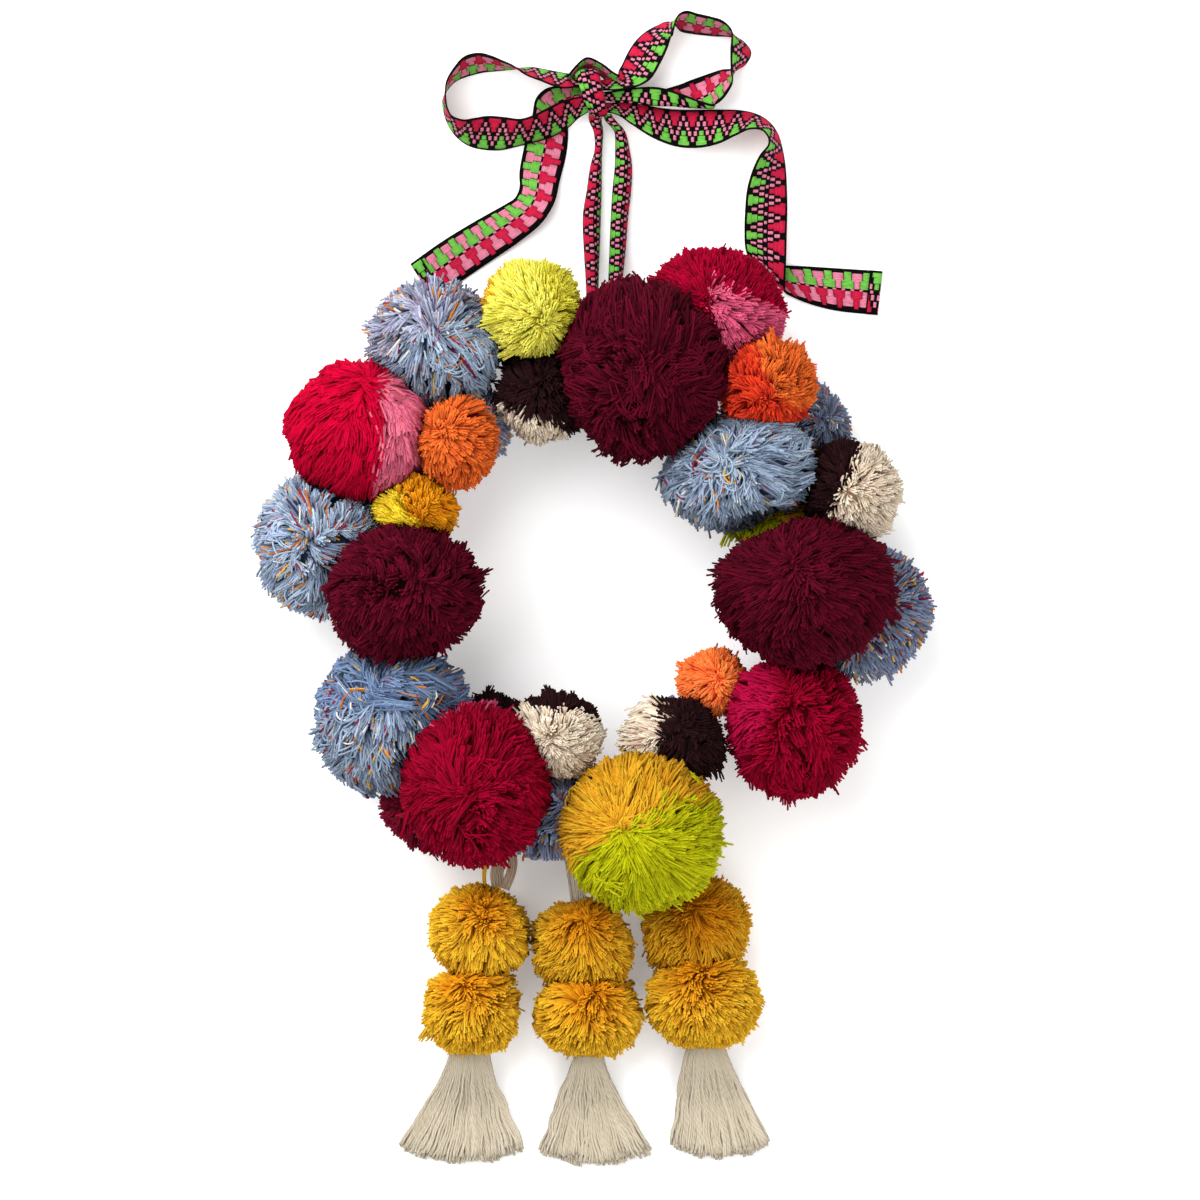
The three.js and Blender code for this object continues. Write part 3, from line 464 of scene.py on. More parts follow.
def cellsOf(count, low, high):
    # cells of a bake layout between the heights low and high: their left and lower edges, size
    columns = max(1, math.ceil(math.sqrt(count / (high - low))))
    wide, tall = 1 / columns, (high - low) / math.ceil(count / columns)
    cell = np.arange(count)
    return (cell % columns) * wide, low + (cell // columns) * tall, wide, tall


def triangleUvs(cells, left, right, bottom, top):
    # a triangle in each cell, from shares of the cell
    x, y, wide, tall = cells
    corners = ((left, bottom), (right, bottom), (left, top))
    return np.stack([np.stack([x + a * wide, y + b * tall], axis=-1) for a, b in corners], axis=1)


def strandUvs(count, rings, length, low, high):
    # every strand has its own cell, with its tip above its sides, and a map that goes round it
    cells = cellsOf(count, low, high)
    left, bottom, wide, tall = (np.reshape(edge, (-1, 1, 1, 1)) for edge in cells)
    shape = (count, rings - 1, 2, 4)
    across = np.array([[0, 1, 1, 0], [1, 2, 2, 1]]) / 2 * 0.9 + 0.05
    k = np.arange(rings - 1)
    rise = np.stack([k, k, k + 1, k + 1], axis=-1) / (rings - 1) * 0.8 + 0.03
    quadX = left + np.broadcast_to(across, shape) * wide
    quadY = bottom + np.broadcast_to(rise[None, :, None], shape) * tall
    quads = np.stack([quadX, quadY], axis=-1).reshape(-1, 4, 2)
    tips = triangleUvs(cells, 0.1, 0.9, 0.87, 0.97)
    around = np.array([[0, 1, 1, 0], [2, 3, 3, 2]]) / 3
    length = length + (np.arange(count) * 0.618 % 1)[:, None]  # each twist starts elsewhere
    along = np.stack([length[:, :-1], length[:, :-1], length[:, 1:], length[:, 1:]], axis=-1)
    along = np.broadcast_to(along[:, :, None, :], shape)
    twist = np.stack([np.broadcast_to(around, shape), along], axis=-1).reshape(-1, 4, 2)
    return quads, tips, twist


def mapUvs(mesh, layer, uvs):
    mesh.uv_layers.new(name=layer).data.foreach_set("uv", uvs.astype(np.float32).ravel())


def dress(mesh, node, replaces=True):
    # a mesh in the scene that rides on the wreath and, unless told otherwise, hides its node
    piece = bpy.data.objects.new(mesh.name, mesh)
    bpy.context.scene.collection.objects.link(piece)
    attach(piece, "root")
    if replaces:
        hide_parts(node)
    return piece


class Pile:
    # strands and inner parts that become one mesh; each lot has its own band of the bake layout
    def __init__(self):
        self.points, self.faces, self.bake, self.twist, self.colours = [], [], [], [], []
        self.count = 0

    def take(self, points, colours, lots):
        for faces, bake, twist in lots:
            self.faces.append(faces + self.count)
            self.bake.append(bake)
            self.twist.append(twist)
        self.points.append(points)
        self.colours.append(colours)
        self.count += len(points)

    def strands(self, paths, outward, halves, colours, low, high):
        # strands along paths (strand, ring, xyz): a tent of three lines of points, closed at
        # the cut end and open beneath
        count, rings = paths.shape[:2]
        run = unit(np.gradient(paths, axis=1))
        side = unit(np.cross(run, outward))
        top = np.cross(side, run)
        corners = [paths + halves[..., None] * (math.cos(a) * top + math.sin(a) * side)
            for a in (0, 2 * math.pi / 3, 4 * math.pi / 3)]
        points = np.stack(corners, axis=2).reshape(-1, 3)
        start = (np.arange(count)[:, None] * rings + np.arange(rings - 1)) * 3
        here, there = start[..., None] + [0, 2], start[..., None] + [1, 0]
        quads = np.stack([here, there, there + 3, here + 3], axis=-1).reshape(-1, 4)
        tips = ((np.arange(count) * rings + rings - 1) * 3)[:, None] + np.array([[0, 1, 2]])
        steps = np.linalg.norm(np.diff(paths, axis=1), axis=2)
        length = np.concatenate([np.zeros((count, 1)), steps.cumsum(axis=1)], axis=1)
        bakeQuads, bakeTips, twist = strandUvs(count, rings, length / (yarn["ply"] * mm), low, high)
        self.take(points, np.repeat(colours.reshape(-1, 3), 3, axis=0),
            [(quads, bakeQuads, twist), (tips, bakeTips, np.zeros((count, 3, 2)))])

    def piece(self, node):
        # the mesh that stands for this node; tells how many triangles it has
        loops = np.concatenate([lot.reshape(-1) for lot in self.faces])
        sizes = np.concatenate([np.full(len(lot), lot.shape[1]) for lot in self.faces])
        starts = np.concatenate([[0], np.cumsum(sizes)[:-1]])
        mesh = bpy.data.meshes.new("yarn_" + node)
        mesh.vertices.add(self.count)
        mesh.vertices.foreach_set("co", np.concatenate(self.points).astype(np.float32).ravel())
        mesh.loops.add(len(loops))
        mesh.loops.foreach_set("vertex_index", loops.astype(np.int32))
        mesh.polygons.add(len(sizes))
        mesh.polygons.foreach_set("loop_start", starts.astype(np.int32))
        mesh.polygons.foreach_set("use_smooth", np.ones(len(sizes), bool))
        mesh.update(calc_edges=True)
        for layer, lots in (("OFBake", self.bake), ("strand", self.twist)):
            mapUvs(mesh, layer, np.concatenate([lot.reshape(-1) for lot in lots]))
        tones = np.concatenate(self.colours)
        tones = np.concatenate([tones, np.ones((len(tones), 1))], axis=1)
        layer = mesh.color_attributes.new(name="yarnColour", type="FLOAT_COLOR", domain="POINT")
        layer.data.foreach_set("color", tones.astype(np.float32).ravel())
        mesh.materials.append(woolMaterial)
        dress(mesh, node)
        return int((sizes - 2).sum())


def addInside(pile, ball, look, high):
    # the inside of a ball, seen between its strands, darkened as painted shade; high is the top of its
    # bake band
    inner = bmesh.new()
    finer = ball.radius > yarn["coreFine"] * mm
    bmesh.ops.create_icosphere(inner, subdivisions=4 if finer else 3, radius=1)
    directions = unit(np.array([v.co for v in inner.verts]))
    faces = np.array([[v.index for v in face.verts] for face in inner.faces])
    inner.free()
    reach, touched, _ = ball.reaches(directions)
    under = np.where(touched, yarn["coreTouch"], yarn["coreGap"]) * mm
    far = np.maximum(reach - under, reach * yarn["coreLeast"])
    points = ball.middle + directions * far[:, None]
    tones = np.array([linear(yarns[name][0]) for name in yarnNames(look)])
    # painted shade: the roots' colour, darker still
    colours = tones[partOf(look, directions)] * yarn["coreDark"]
    bake = triangleUvs(cellsOf(len(faces), 0, high), 0.1, 0.9, 0.1, 0.9)
    pile.take(points, colours, [(faces, bake, np.zeros((len(faces), 3, 2)))])


def readPairs(table, share):
    # reads a pair of the table as the least amount and what the whole share adds to it
    return lambda name: table[name][0] + table[name][1] * share


# How strands grow. A pair is the amount for tidy yarn and what unruly yarn adds to it.
growth = {
    "tuftWide": 0.62,  # where a tuft ends, next to the distance between tufts
    "tuftUntidy": 1.2,
    "gather": (0.24, 0.2),  # how far strands go towards the middle of their tuft
    "steepCrown": 0.35,  # within this distance of the crown, strands stand more upright
    "driftFine": 4.0,
    "driftBy": (0.1, 0.3),
    "tuftTurn": (0.05, 0.1),
    "strandTurn": (0.03, 0.03),
    "tuftHeight": 0.014,  # how far tufts differ in height, as a share of the radius
    "tuftEdge": 0.028,  # how much lower a tuft is at its edge
    "strandHeight": 0.01,
    "besideHeight": 1.005,
    "strays": (0.03, 0.03),  # share of strands that stick out
    "strayLength": 2.6,
    "depth": (0.3, 0.2, 0.42),  # of the roots: for upright yarn, what lean adds, at most
    "shortDepth": 0.7,
    "wobble": (0.2, 0.9),
    "thickness": (0.8, 1.15),  # the thinnest and the thickest strand
    "unrulyThin": 0.12,
    "strandShade": (0.74, 1.16),  # the darkest and the lightest strand, and tuft
    "tuftShade": (0.85, 1.12),
    # painted shade: how much darker a strand is at the edge of its tuft, where tufts part
    "edgeDark": (0.34, 0.28),
}


def addStrands(pile, ball, look, rng, low, high):
    behind = "crown" not in look
    rings, lean, unruly = look["rings"], look["lean"], look["unruly"]
    short = rings == 2
    by = readPairs(growth, unruly)
    spacing = yarn["backSpacing" if behind else "shortSpacing" if short else "spacing"]
    tips = evenDirections(int(4 * math.pi * (ball.radius / spacing / mm) ** 2), rng)
    tips = tips[(tips[:, 2] > yarn["underSide"]) | (rng.random(len(tips)) < yarn["underShare"])]
    tuft = look["tuft"] * mm / ball.radius
    tufts = evenDirections(int(4 * math.pi / tuft ** 2), rng, growth["tuftUntidy"])
    owner = np.argmax(tips @ tufts.T, axis=1)
    off = tufts[owner] - tips
    edge = np.minimum(1, np.linalg.norm(off, axis=1) / (tuft * growth["tuftWide"]))
    tips = unit(tips + off * by("gather"))
    reach, touched, beside = ball.reaches(tips)
    keep = ~touched | look["full"]
    tips, reach, owner, edge, beside = (each[keep] for each in (tips, reach, owner, edge, beside))

    # which way each strand leans
    crown = unit(np.array([look.get("crown", (0, 0, -1))], float))
    away = tips * (tips @ crown[0])[:, None] - crown
    steep = np.minimum(1, np.linalg.norm(away, axis=1) / growth["steepCrown"])[:, None]
    flow = unit(away) * steep * lean
    swirl = drift(tips, rng, growth["driftFine"]) * by("driftBy")
    swirl = swirl + rng.normal(size=(len(tufts), 3))[owner] * by("tuftTurn")
    roots = unit(tips - flow - swirl - rng.normal(size=tips.shape) * by("strandTurn"))

    # how far out it reaches and how deep it starts
    height = rng.normal(size=len(tufts))[owner] * growth["tuftHeight"] * (1 + unruly)
    height = 1 + (height - growth["tuftEdge"] * edge ** 2)
    height = height + rng.normal(size=len(tips)) * growth["strandHeight"]
    height = np.where(beside, np.maximum(height, growth["besideHeight"]), height)
    stray = ~beside & (rng.random(len(tips)) < by("strays"))
    outer = reach * height + np.where(stray, rng.uniform(0, growth["strayLength"] * mm, len(tips)), 0)
    shallow, leaning, most = growth["depth"]
    depth = np.minimum(most, shallow + leaning * lean) * reach
    depth = depth * (growth["shortDepth"] if short else 1)

    along = np.linspace(0, 1, rings)
    turns = unit(roots[:, None] * (1 - along)[None, :, None] + tips[:, None] * along[None, :, None])
    far = outer[:, None] - depth[:, None] * ((1 - along) ** look["lie"])[None]
    wobble = rng.normal(size=(len(tips), rings, 3)) * by("wobble") * mm
    paths = ball.middle + turns * far[..., None] + wobble * along[None, :, None]
    paths[..., 2] = np.maximum(paths[..., 2], yarn["floor"] * mm)
    halves = np.linspace(yarn["root"], yarn["tip"], rings)[None] * mm
    halves = halves * rng.uniform(*growth["thickness"], (len(tips), 1))
    halves = halves * (1 - growth["unrulyThin"] * unruly)
    wider = np.where(tips[:, 2] < yarn["underSide"], yarn["under"], 1.0)
    wider = wider * (yarn["behind"] if behind else yarn["short"] if short else 1)
    # painted shade: strands darker towards the edges of their tufts
    shade = rng.uniform(*growth["strandShade"], len(tips)) * (1 - by("edgeDark") * edge ** 2)
    shade = shade * rng.uniform(*growth["tuftShade"], len(tufts))[owner]
    colours = strandColours(look, tips, rings, shade, rng)
    pile.strands(paths, turns, halves * wider[:, None], colours, low, high)


# Locks of a few long strands each that wander over a ball. Lengths are in mm.
locks = {
    "strands": 4,  # in a lock
    "rings": 13,
    "step": 1.9,  # from ring to ring
    "half": 0.54,  # half thickness
    "upper": 0.9,  # how much more of them start on the side that is seen
    "apart": 1.5,
    "turned": 0.7,  # how far a lock's way differs from straight off the crown
    "curl": 0.14,
    "bend": 0.1,
    "ownBend": 0.04,
    "steady": 0.85,
    "dive": 3.0,  # how deep a lock starts, and over what share of it it comes up
    "diveShare": 0.25,
    "wave": 0.6,
    "waves": 9,
    "ownHeight": 0.25,
    "shade": (0.95, 1.2),
    "flecked": 0.22,
}


def addLoose(pile, ball, look, rng, low, high):
    count, rings, inLock = look["loose"], locks["rings"], locks["strands"]
    place = unit(rng.normal(size=(count, 3)) + np.array([0, 0, locks["upper"]]))
    place = place + rng.normal(size=(inLock, count, 3)) * (locks["apart"] * mm / ball.radius)
    place = unit(place.reshape(-1, 3))
    crown = unit(np.array([look["crown"]], float))[0]
    turned = np.tile(rng.normal(size=(count, 3)) * locks["turned"], (inLock, 1))
    heading = unit(place * (place @ crown)[:, None] - crown + turned)
    curl = np.tile(rng.normal(size=count) * locks["curl"], inLock)
    bends = rng.normal(size=(rings, count)) * locks["bend"]
    paths, turns, free = [], [], np.ones(len(place), bool)
    for k in range(rings):
        reach, _, beside = ball.reaches(place)
        free &= ~beside
        share = k / (rings - 1)
        lift = -locks["dive"] * max(0, 1 - share / locks["diveShare"])
        lift = (lift + locks["wave"] * math.sin(share * locks["waves"])) * mm
        own = rng.normal(size=len(place)) * locks["ownHeight"] * mm
        paths.append(ball.middle + place * (reach + lift + own)[:, None])
        turns.append(place)
        curl = curl * locks["steady"] + np.tile(bends[k], inLock)
        curl = curl + rng.normal(size=len(place)) * locks["ownBend"]
        heading = unit(heading + np.cross(place, heading) * curl[:, None])
        heading = unit(heading - place * np.sum(heading * place, axis=1)[:, None])
        place = unit(place + heading * (locks["step"] * mm / ball.radius))
    if not free.any():
        return
    paths, turns = np.stack(paths, axis=1)[free], np.stack(turns, axis=1)[free]
    halves = np.full(paths.shape[:2], locks["half"] * mm)
    shade = rng.uniform(*locks["shade"], len(paths))
    # one colour for a whole strand, from near its light end
    colours = strandColours(dict(look, flecked=0), turns[:, 0], rings, shade, rng)[:, -4:-3]
    if look["flecked"]:
        dyed = rng.random(len(paths)) < locks["flecked"]
        dyes = np.array([linear(code) for code in flecks])
        colours[dyed, 0] = dyes[rng.integers(0, len(dyes), dyed.sum())]
    colours = np.clip(colours.repeat(rings, axis=1), 0, 1)
    pile.strands(paths, turns, halves, colours, low, high)


def makePompom(name, look, seed):
    # the three bands of the bake layout: the inside, loose locks, strands
    rng = np.random.default_rng(seed)
    look = {**usual, **look}
    ball = Ball(name, look)
    pile = Pile()
    addInside(pile, ball, look, 0.075)
    if look["loose"]:
        addLoose(pile, ball, look, rng, 0.08, 0.15)
    addStrands(pile, ball, look, rng, 0.16, 1.0)
    return pile.piece(name)


sizes = [makePompom(name, look, seed) for seed, (name, look) in enumerate(looks.items(), 1)]
print("pompoms made:", sum(sizes), "triangles, most", max(sizes))


ringMiddle = np.array([0.815, 4.96, 0.0])  # from the tables' origin to the frame's, in mm

# The woven ribbon. Lengths are in mm.
ribbon = {
    "wide": 22.0,
    "thick": 0.7,
    "pitch": 9.0,  # length of one repeat of the woven pattern
    "hem": 5.5,
    "stitch": 0.8,
    "threads": 30,  # across the whole width
    "steps": 6,  # between two ribs
    "across": 8,
    "hemLift": 1.25,  # how far the hem lies above the ribbon, in thicknesses
    "rough": 0.75,
    "square": (12.0, 8.0),  # how square a block is, across and along
    "pillow": 1.3,  # how much a block swells, in its bump and in its painted shade
    "grain": (1.2, 2.4),  # how fine the grain is, across a thread and along it
    "light": (0.2, 0.22, 0.16, 1.04),  # of the ground, and what the blocks' painted shade, threads and grain add
    "threadRaised": 0.25,  # next to a block
    "raised": 0.0004,
    "bump": 0.8,
    "dyes": {"black": "0d090a", "green": "68b046", "pink": "d07890", "red": "ba1c3e"},
}
# Blocks of the woven pattern: dye, from and to across the ribbon from its green edge, length
# along the ribbon as a share of the repeat, and where in the repeat its middle lies.
frontBlocks = [
    ("green", 0.05, 0.16, 0.60, 0), ("green", 0.155, 0.295, 0.42, 0), ("green", 0.308, 0.435, 0.25, 0),
    ("pink", 0.145, 0.275, 0.17, 0.5), ("pink", 0.308, 0.425, 0.18, 0.34),
    ("pink", 0.308, 0.425, 0.18, 0.66), ("pink", 0.458, 0.525, 0.18, 0.25),
    ("pink", 0.458, 0.525, 0.18, 0.75), ("red", 0.555, 0.69, 0.28, 0.5),
    ("pink", 0.555, 0.675, 0.18, 0.83), ("pink", 0.555, 0.675, 0.18, 0.17),
    ("red", 0.685, 0.83, 0.48, 0.5), ("pink", 0.71, 0.835, 0.17, 0), ("red", 0.82, 0.95, 0.68, 0.5)
]
backBlocks = [
    ("green", 0.07, 0.27, 0.38, 0), ("green", 0.26, 0.455, 0.64, 0), ("pink", 0.10, 0.28, 0.54, 0.5),
    ("pink", 0.27, 0.455, 0.30, 0.5), ("pink", 0.46, 0.50, 0.2, 0.25), ("pink", 0.46, 0.50, 0.2, 0.75),
    ("pink", 0.51, 0.67, 0.32, 0), ("pink", 0.66, 0.86, 0.62, 0), ("red", 0.50, 0.69, 0.64, 0.5),
    ("red", 0.68, 0.86, 0.33, 0.5), ("red", 0.85, 0.91, 0.26, 0.5)
]


def weaveShader(name, blocks):
    # blocks of floating threads on a black ground, each with painted shade towards its ends as if it
    # bulged; the UV map has u across and v along
    shader = Shader(name, ribbon["rough"])
    place, u, v = shader.uvMap("weave")
    squareAcross, squareAlong = ribbon["square"]
    masks = {}
    bulge = None
    for dye, left, right, length, middle in blocks:
        across = (u - (left + right) / 2).size() / ((right - left) / 2)
        along = ((v - (middle - 0.5)).fraction() - 0.5).size() / (length / 2)
        inside = (across ** squareAcross + along ** squareAlong) < 1.0
        masks[dye] = masks[dye].larger(inside) if dye in masks else inside
        # painted shade: a block is lighter in its middle and darker towards its ends, as on a bulge;
        # the same bulge raises the bump
        pillow = inside * (ribbon["pillow"] - along * along)
        bulge = bulge.larger(pillow) if bulge else pillow
    threads = (u * (ribbon["threads"] * 2 * math.pi)).wave()
    fineAcross, fineAlong = ribbon["grain"]
    drawnOut = (ribbon["threads"] * fineAcross, fineAlong, 1)
    drawn = shader.node("ShaderNodeVectorMath", {"operation": "MULTIPLY"}, [place, drawnOut])
    grain = shader.node("ShaderNodeTexNoise", {}, {"Vector": drawn, "Scale": 1.0, "Detail": 1.0})
    dyes = {dye: (*linear(code), 1) for dye, code in ribbon["dyes"].items()}
    colour = dyes["black"]
    for dye in ("pink", "red", "green"):
        colour = shader.mix(masks[dye], colour, dyes[dye])
    ground, byBulge, byThreads, byGrain = ribbon["light"]
    light = ground + bulge * byBulge + threads * byThreads + grain * byGrain
    shader.paint("Base Color", shader.tint(colour, light))
    shader.raised(bulge + threads * ribbon["threadRaised"], ribbon["raised"], ribbon["bump"])
    return shader.material


weaves = [weaveShader("wovenFront", frontBlocks), weaveShader("wovenBack", backBlocks)]


def smoothRun(points, steps):
    # the curve through the points, as a centripetal Catmull-Rom spline
    points = np.asarray(points, float)
    ends = np.vstack([2 * points[0] - points[1], points, 2 * points[-1] - points[-2]])
    found = []
    for i in range(1, len(ends) - 2):
        p0, p1, p2, p3 = ends[i - 1:i + 3]
        pairs = ((p0, p1), (p1, p2), (p2, p3))
        d0, d1, d2 = (max(np.linalg.norm(b - a) ** 0.5, 1e-4) for a, b in pairs)
        t1 = ((p1 - p0) / d0 - (p2 - p0) / (d0 + d1) + (p2 - p1) / d1) * d1
        t2 = ((p2 - p1) / d1 - (p3 - p1) / (d1 + d2) + (p3 - p2) / d2) * d1
        square = 3 * (p2 - p1) - 2 * t1 - t2
        cube = 2 * (p1 - p2) + t1 + t2
        for t in np.arange(steps) / steps:
            found.append(p1 + t1 * t + square * t ** 2 + cube * t ** 3)
    found.append(points[-1])
    return np.array(found)


def rib(fx, fy, hx, hy, low=0.6, wide=ribbon["wide"], rise=None, fold=None):
    # a line across the ribbon, in mm: x and y of the edge nearer the surface and of the edge that
    # is lifted, and the height of the first; then what is special: the width across a gathered
    # ribbon, how much higher the second edge is, the point to bend at where that edge turns over
    if rise is None:
        rise = math.sqrt(max(0.0, wide ** 2 - math.hypot(hx - fx, hy - fy) ** 2))
    first, second = (fx, fy, low), (hx, hy, low + rise)
    return first, fold or tuple((a + b) / 2 for a, b in zip(first, second)), second


def ribbonGrid(ribs):
    # points (along, across, xyz) of the ribbon that runs over these ribs
    low, fold, high = (smoothRun(line, ribbon["steps"])[:, None] for line in zip(*ribs))
    share = np.linspace(0, 1, ribbon["across"] // 2 + 1)[None, :, None]
    return np.concatenate([low + (fold - low) * share, fold + (high - fold) * share[:, 1:]], axis=1)


def hemmed(grid):
    # the end is folded back onto the face that lies up
    along = unit(grid[-1].mean(axis=0) - grid[-2].mean(axis=0))
    upward = np.array(up)
    lift = ribbon["thick"] * ribbon["hemLift"]
    extra = []
    for turn in np.linspace(0, math.pi, 7)[1:]:
        extra.append(along * math.sin(turn) * lift / 2 + upward * ((1 - math.cos(turn)) * lift / 2))
    for back in [*np.linspace(0, ribbon["hem"] - ribbon["stitch"], 5)[1:], ribbon["hem"]]:
        extra.append(-along * back + upward * lift)
    return np.concatenate([grid, grid[-1] + np.array(extra)[:, None]])


def sheetUvs(rows, columns, rimCount):
    # the two sides lie next to each other and the rim in a strip beneath them
    k, c = np.meshgrid(np.arange(rows - 1), np.arange(columns - 1), indexing="ij")
    x0, x1 = c / (columns - 1), (c + 1) / (columns - 1)
    y0, y1 = 0.06 + 0.93 * k / (rows - 1), 0.06 + 0.93 * (k + 1) / (rows - 1)
    corners = ((x0, y0), (x0, y1), (x1, y1), (x1, y0))
    top = np.stack([np.stack(corner, -1) for corner in corners], axis=2)
    bottom = top[:, :, [0, 3, 2, 1]].reshape(-1, 4, 2) * [0.47, 1] + [0.51, 0]
    top = top.reshape(-1, 4, 2) * [0.47, 1] + [0.01, 0]
    left = np.arange(rimCount) / rimCount
    right = left + 0.8 / rimCount
    corners = ((left, 0.01), (left, 0.04), (right, 0.04), (right, 0.01))
    rim = np.stack([np.stack([x, x * 0 + y], -1) for x, y in corners], axis=1)
    return np.concatenate([top, bottom, rim])


def weaveUvs(grid, greenFirst):
    # u across the ribbon and v along it, for each point of the grid, and the ribbon's length
    length = np.linalg.norm(np.diff(grid.mean(axis=1), axis=0), axis=1).cumsum()
    v = np.concatenate([[0], length]) / ribbon["pitch"]
    u = np.linalg.norm(np.diff(grid, axis=1), axis=2).cumsum(axis=1)
    u = np.concatenate([np.zeros((len(grid), 1)), u / u[:, -1:]], axis=1)
    u = u if greenFirst else 1 - u
    return np.stack(np.broadcast_arrays(u, v[:, None]), axis=-1).reshape(-1, 2), float(length[-1])


def ribbonSheet(name, node, grid, greenFirst, frontUp, stitched=False, replaces=True):
    # a thin closed sheet about a grid of points (along, across, xyz) in mm, and its length;
    # frontUp tells whether the pattern's front is on the side of along x across
    grid = grid + ringMiddle
    rows, columns = grid.shape[:2]
    out = np.cross(np.gradient(grid, axis=0), np.gradient(grid, axis=1))
    out = unit(out) * ribbon["thick"] / 2
    points = np.concatenate([(grid + out).reshape(-1, 3), (grid - out).reshape(-1, 3)]) * mm
    number = np.arange(rows * columns).reshape(rows, columns)
    a, b, c, d = number[:-1, :-1], number[1:, :-1], number[1:, 1:], number[:-1, 1:]
    under = rows * columns
    top = np.stack([a, b, c, d], axis=-1).reshape(-1, 4)
    bottom = np.stack([a, d, c, b], axis=-1).reshape(-1, 4) + under
    edge = np.concatenate([number[:, 0], number[-1, 1:], number[-2::-1, -1], number[0, -2:0:-1]])
    onward = np.roll(edge, -1)
    rim = np.stack([edge, edge + under, onward + under, onward], axis=-1)
    faces = np.concatenate([top, bottom, rim])
    mesh = bpy.data.meshes.new(name)
    mesh.from_pydata(points.tolist(), [], faces.tolist())
    for material in weaves:
        mesh.materials.append(material)
    counts = (len(top), len(bottom), len(rim))
    sides = np.repeat([0, 1, 0] if frontUp else [1, 0, 0], counts)
    mesh.polygons.foreach_set("material_index", sides.astype(np.int32))
    mesh.polygons.foreach_set("use_smooth", np.repeat([True, True, False], counts))
    mapUvs(mesh, "OFBake", sheetUvs(rows, columns, len(rim)))
    weave, length = weaveUvs(grid, greenFirst)
    placed = np.concatenate([weave, weave])[faces]
    if stitched:
        for last in (len(top), 2 * len(top)):
            placed[last - columns + 1:last, :, 0] = -0.1  # the row of stitches is black
    mapUvs(mesh, "weave", placed)
    mesh.update()
    return dress(mesh, node, replaces), length


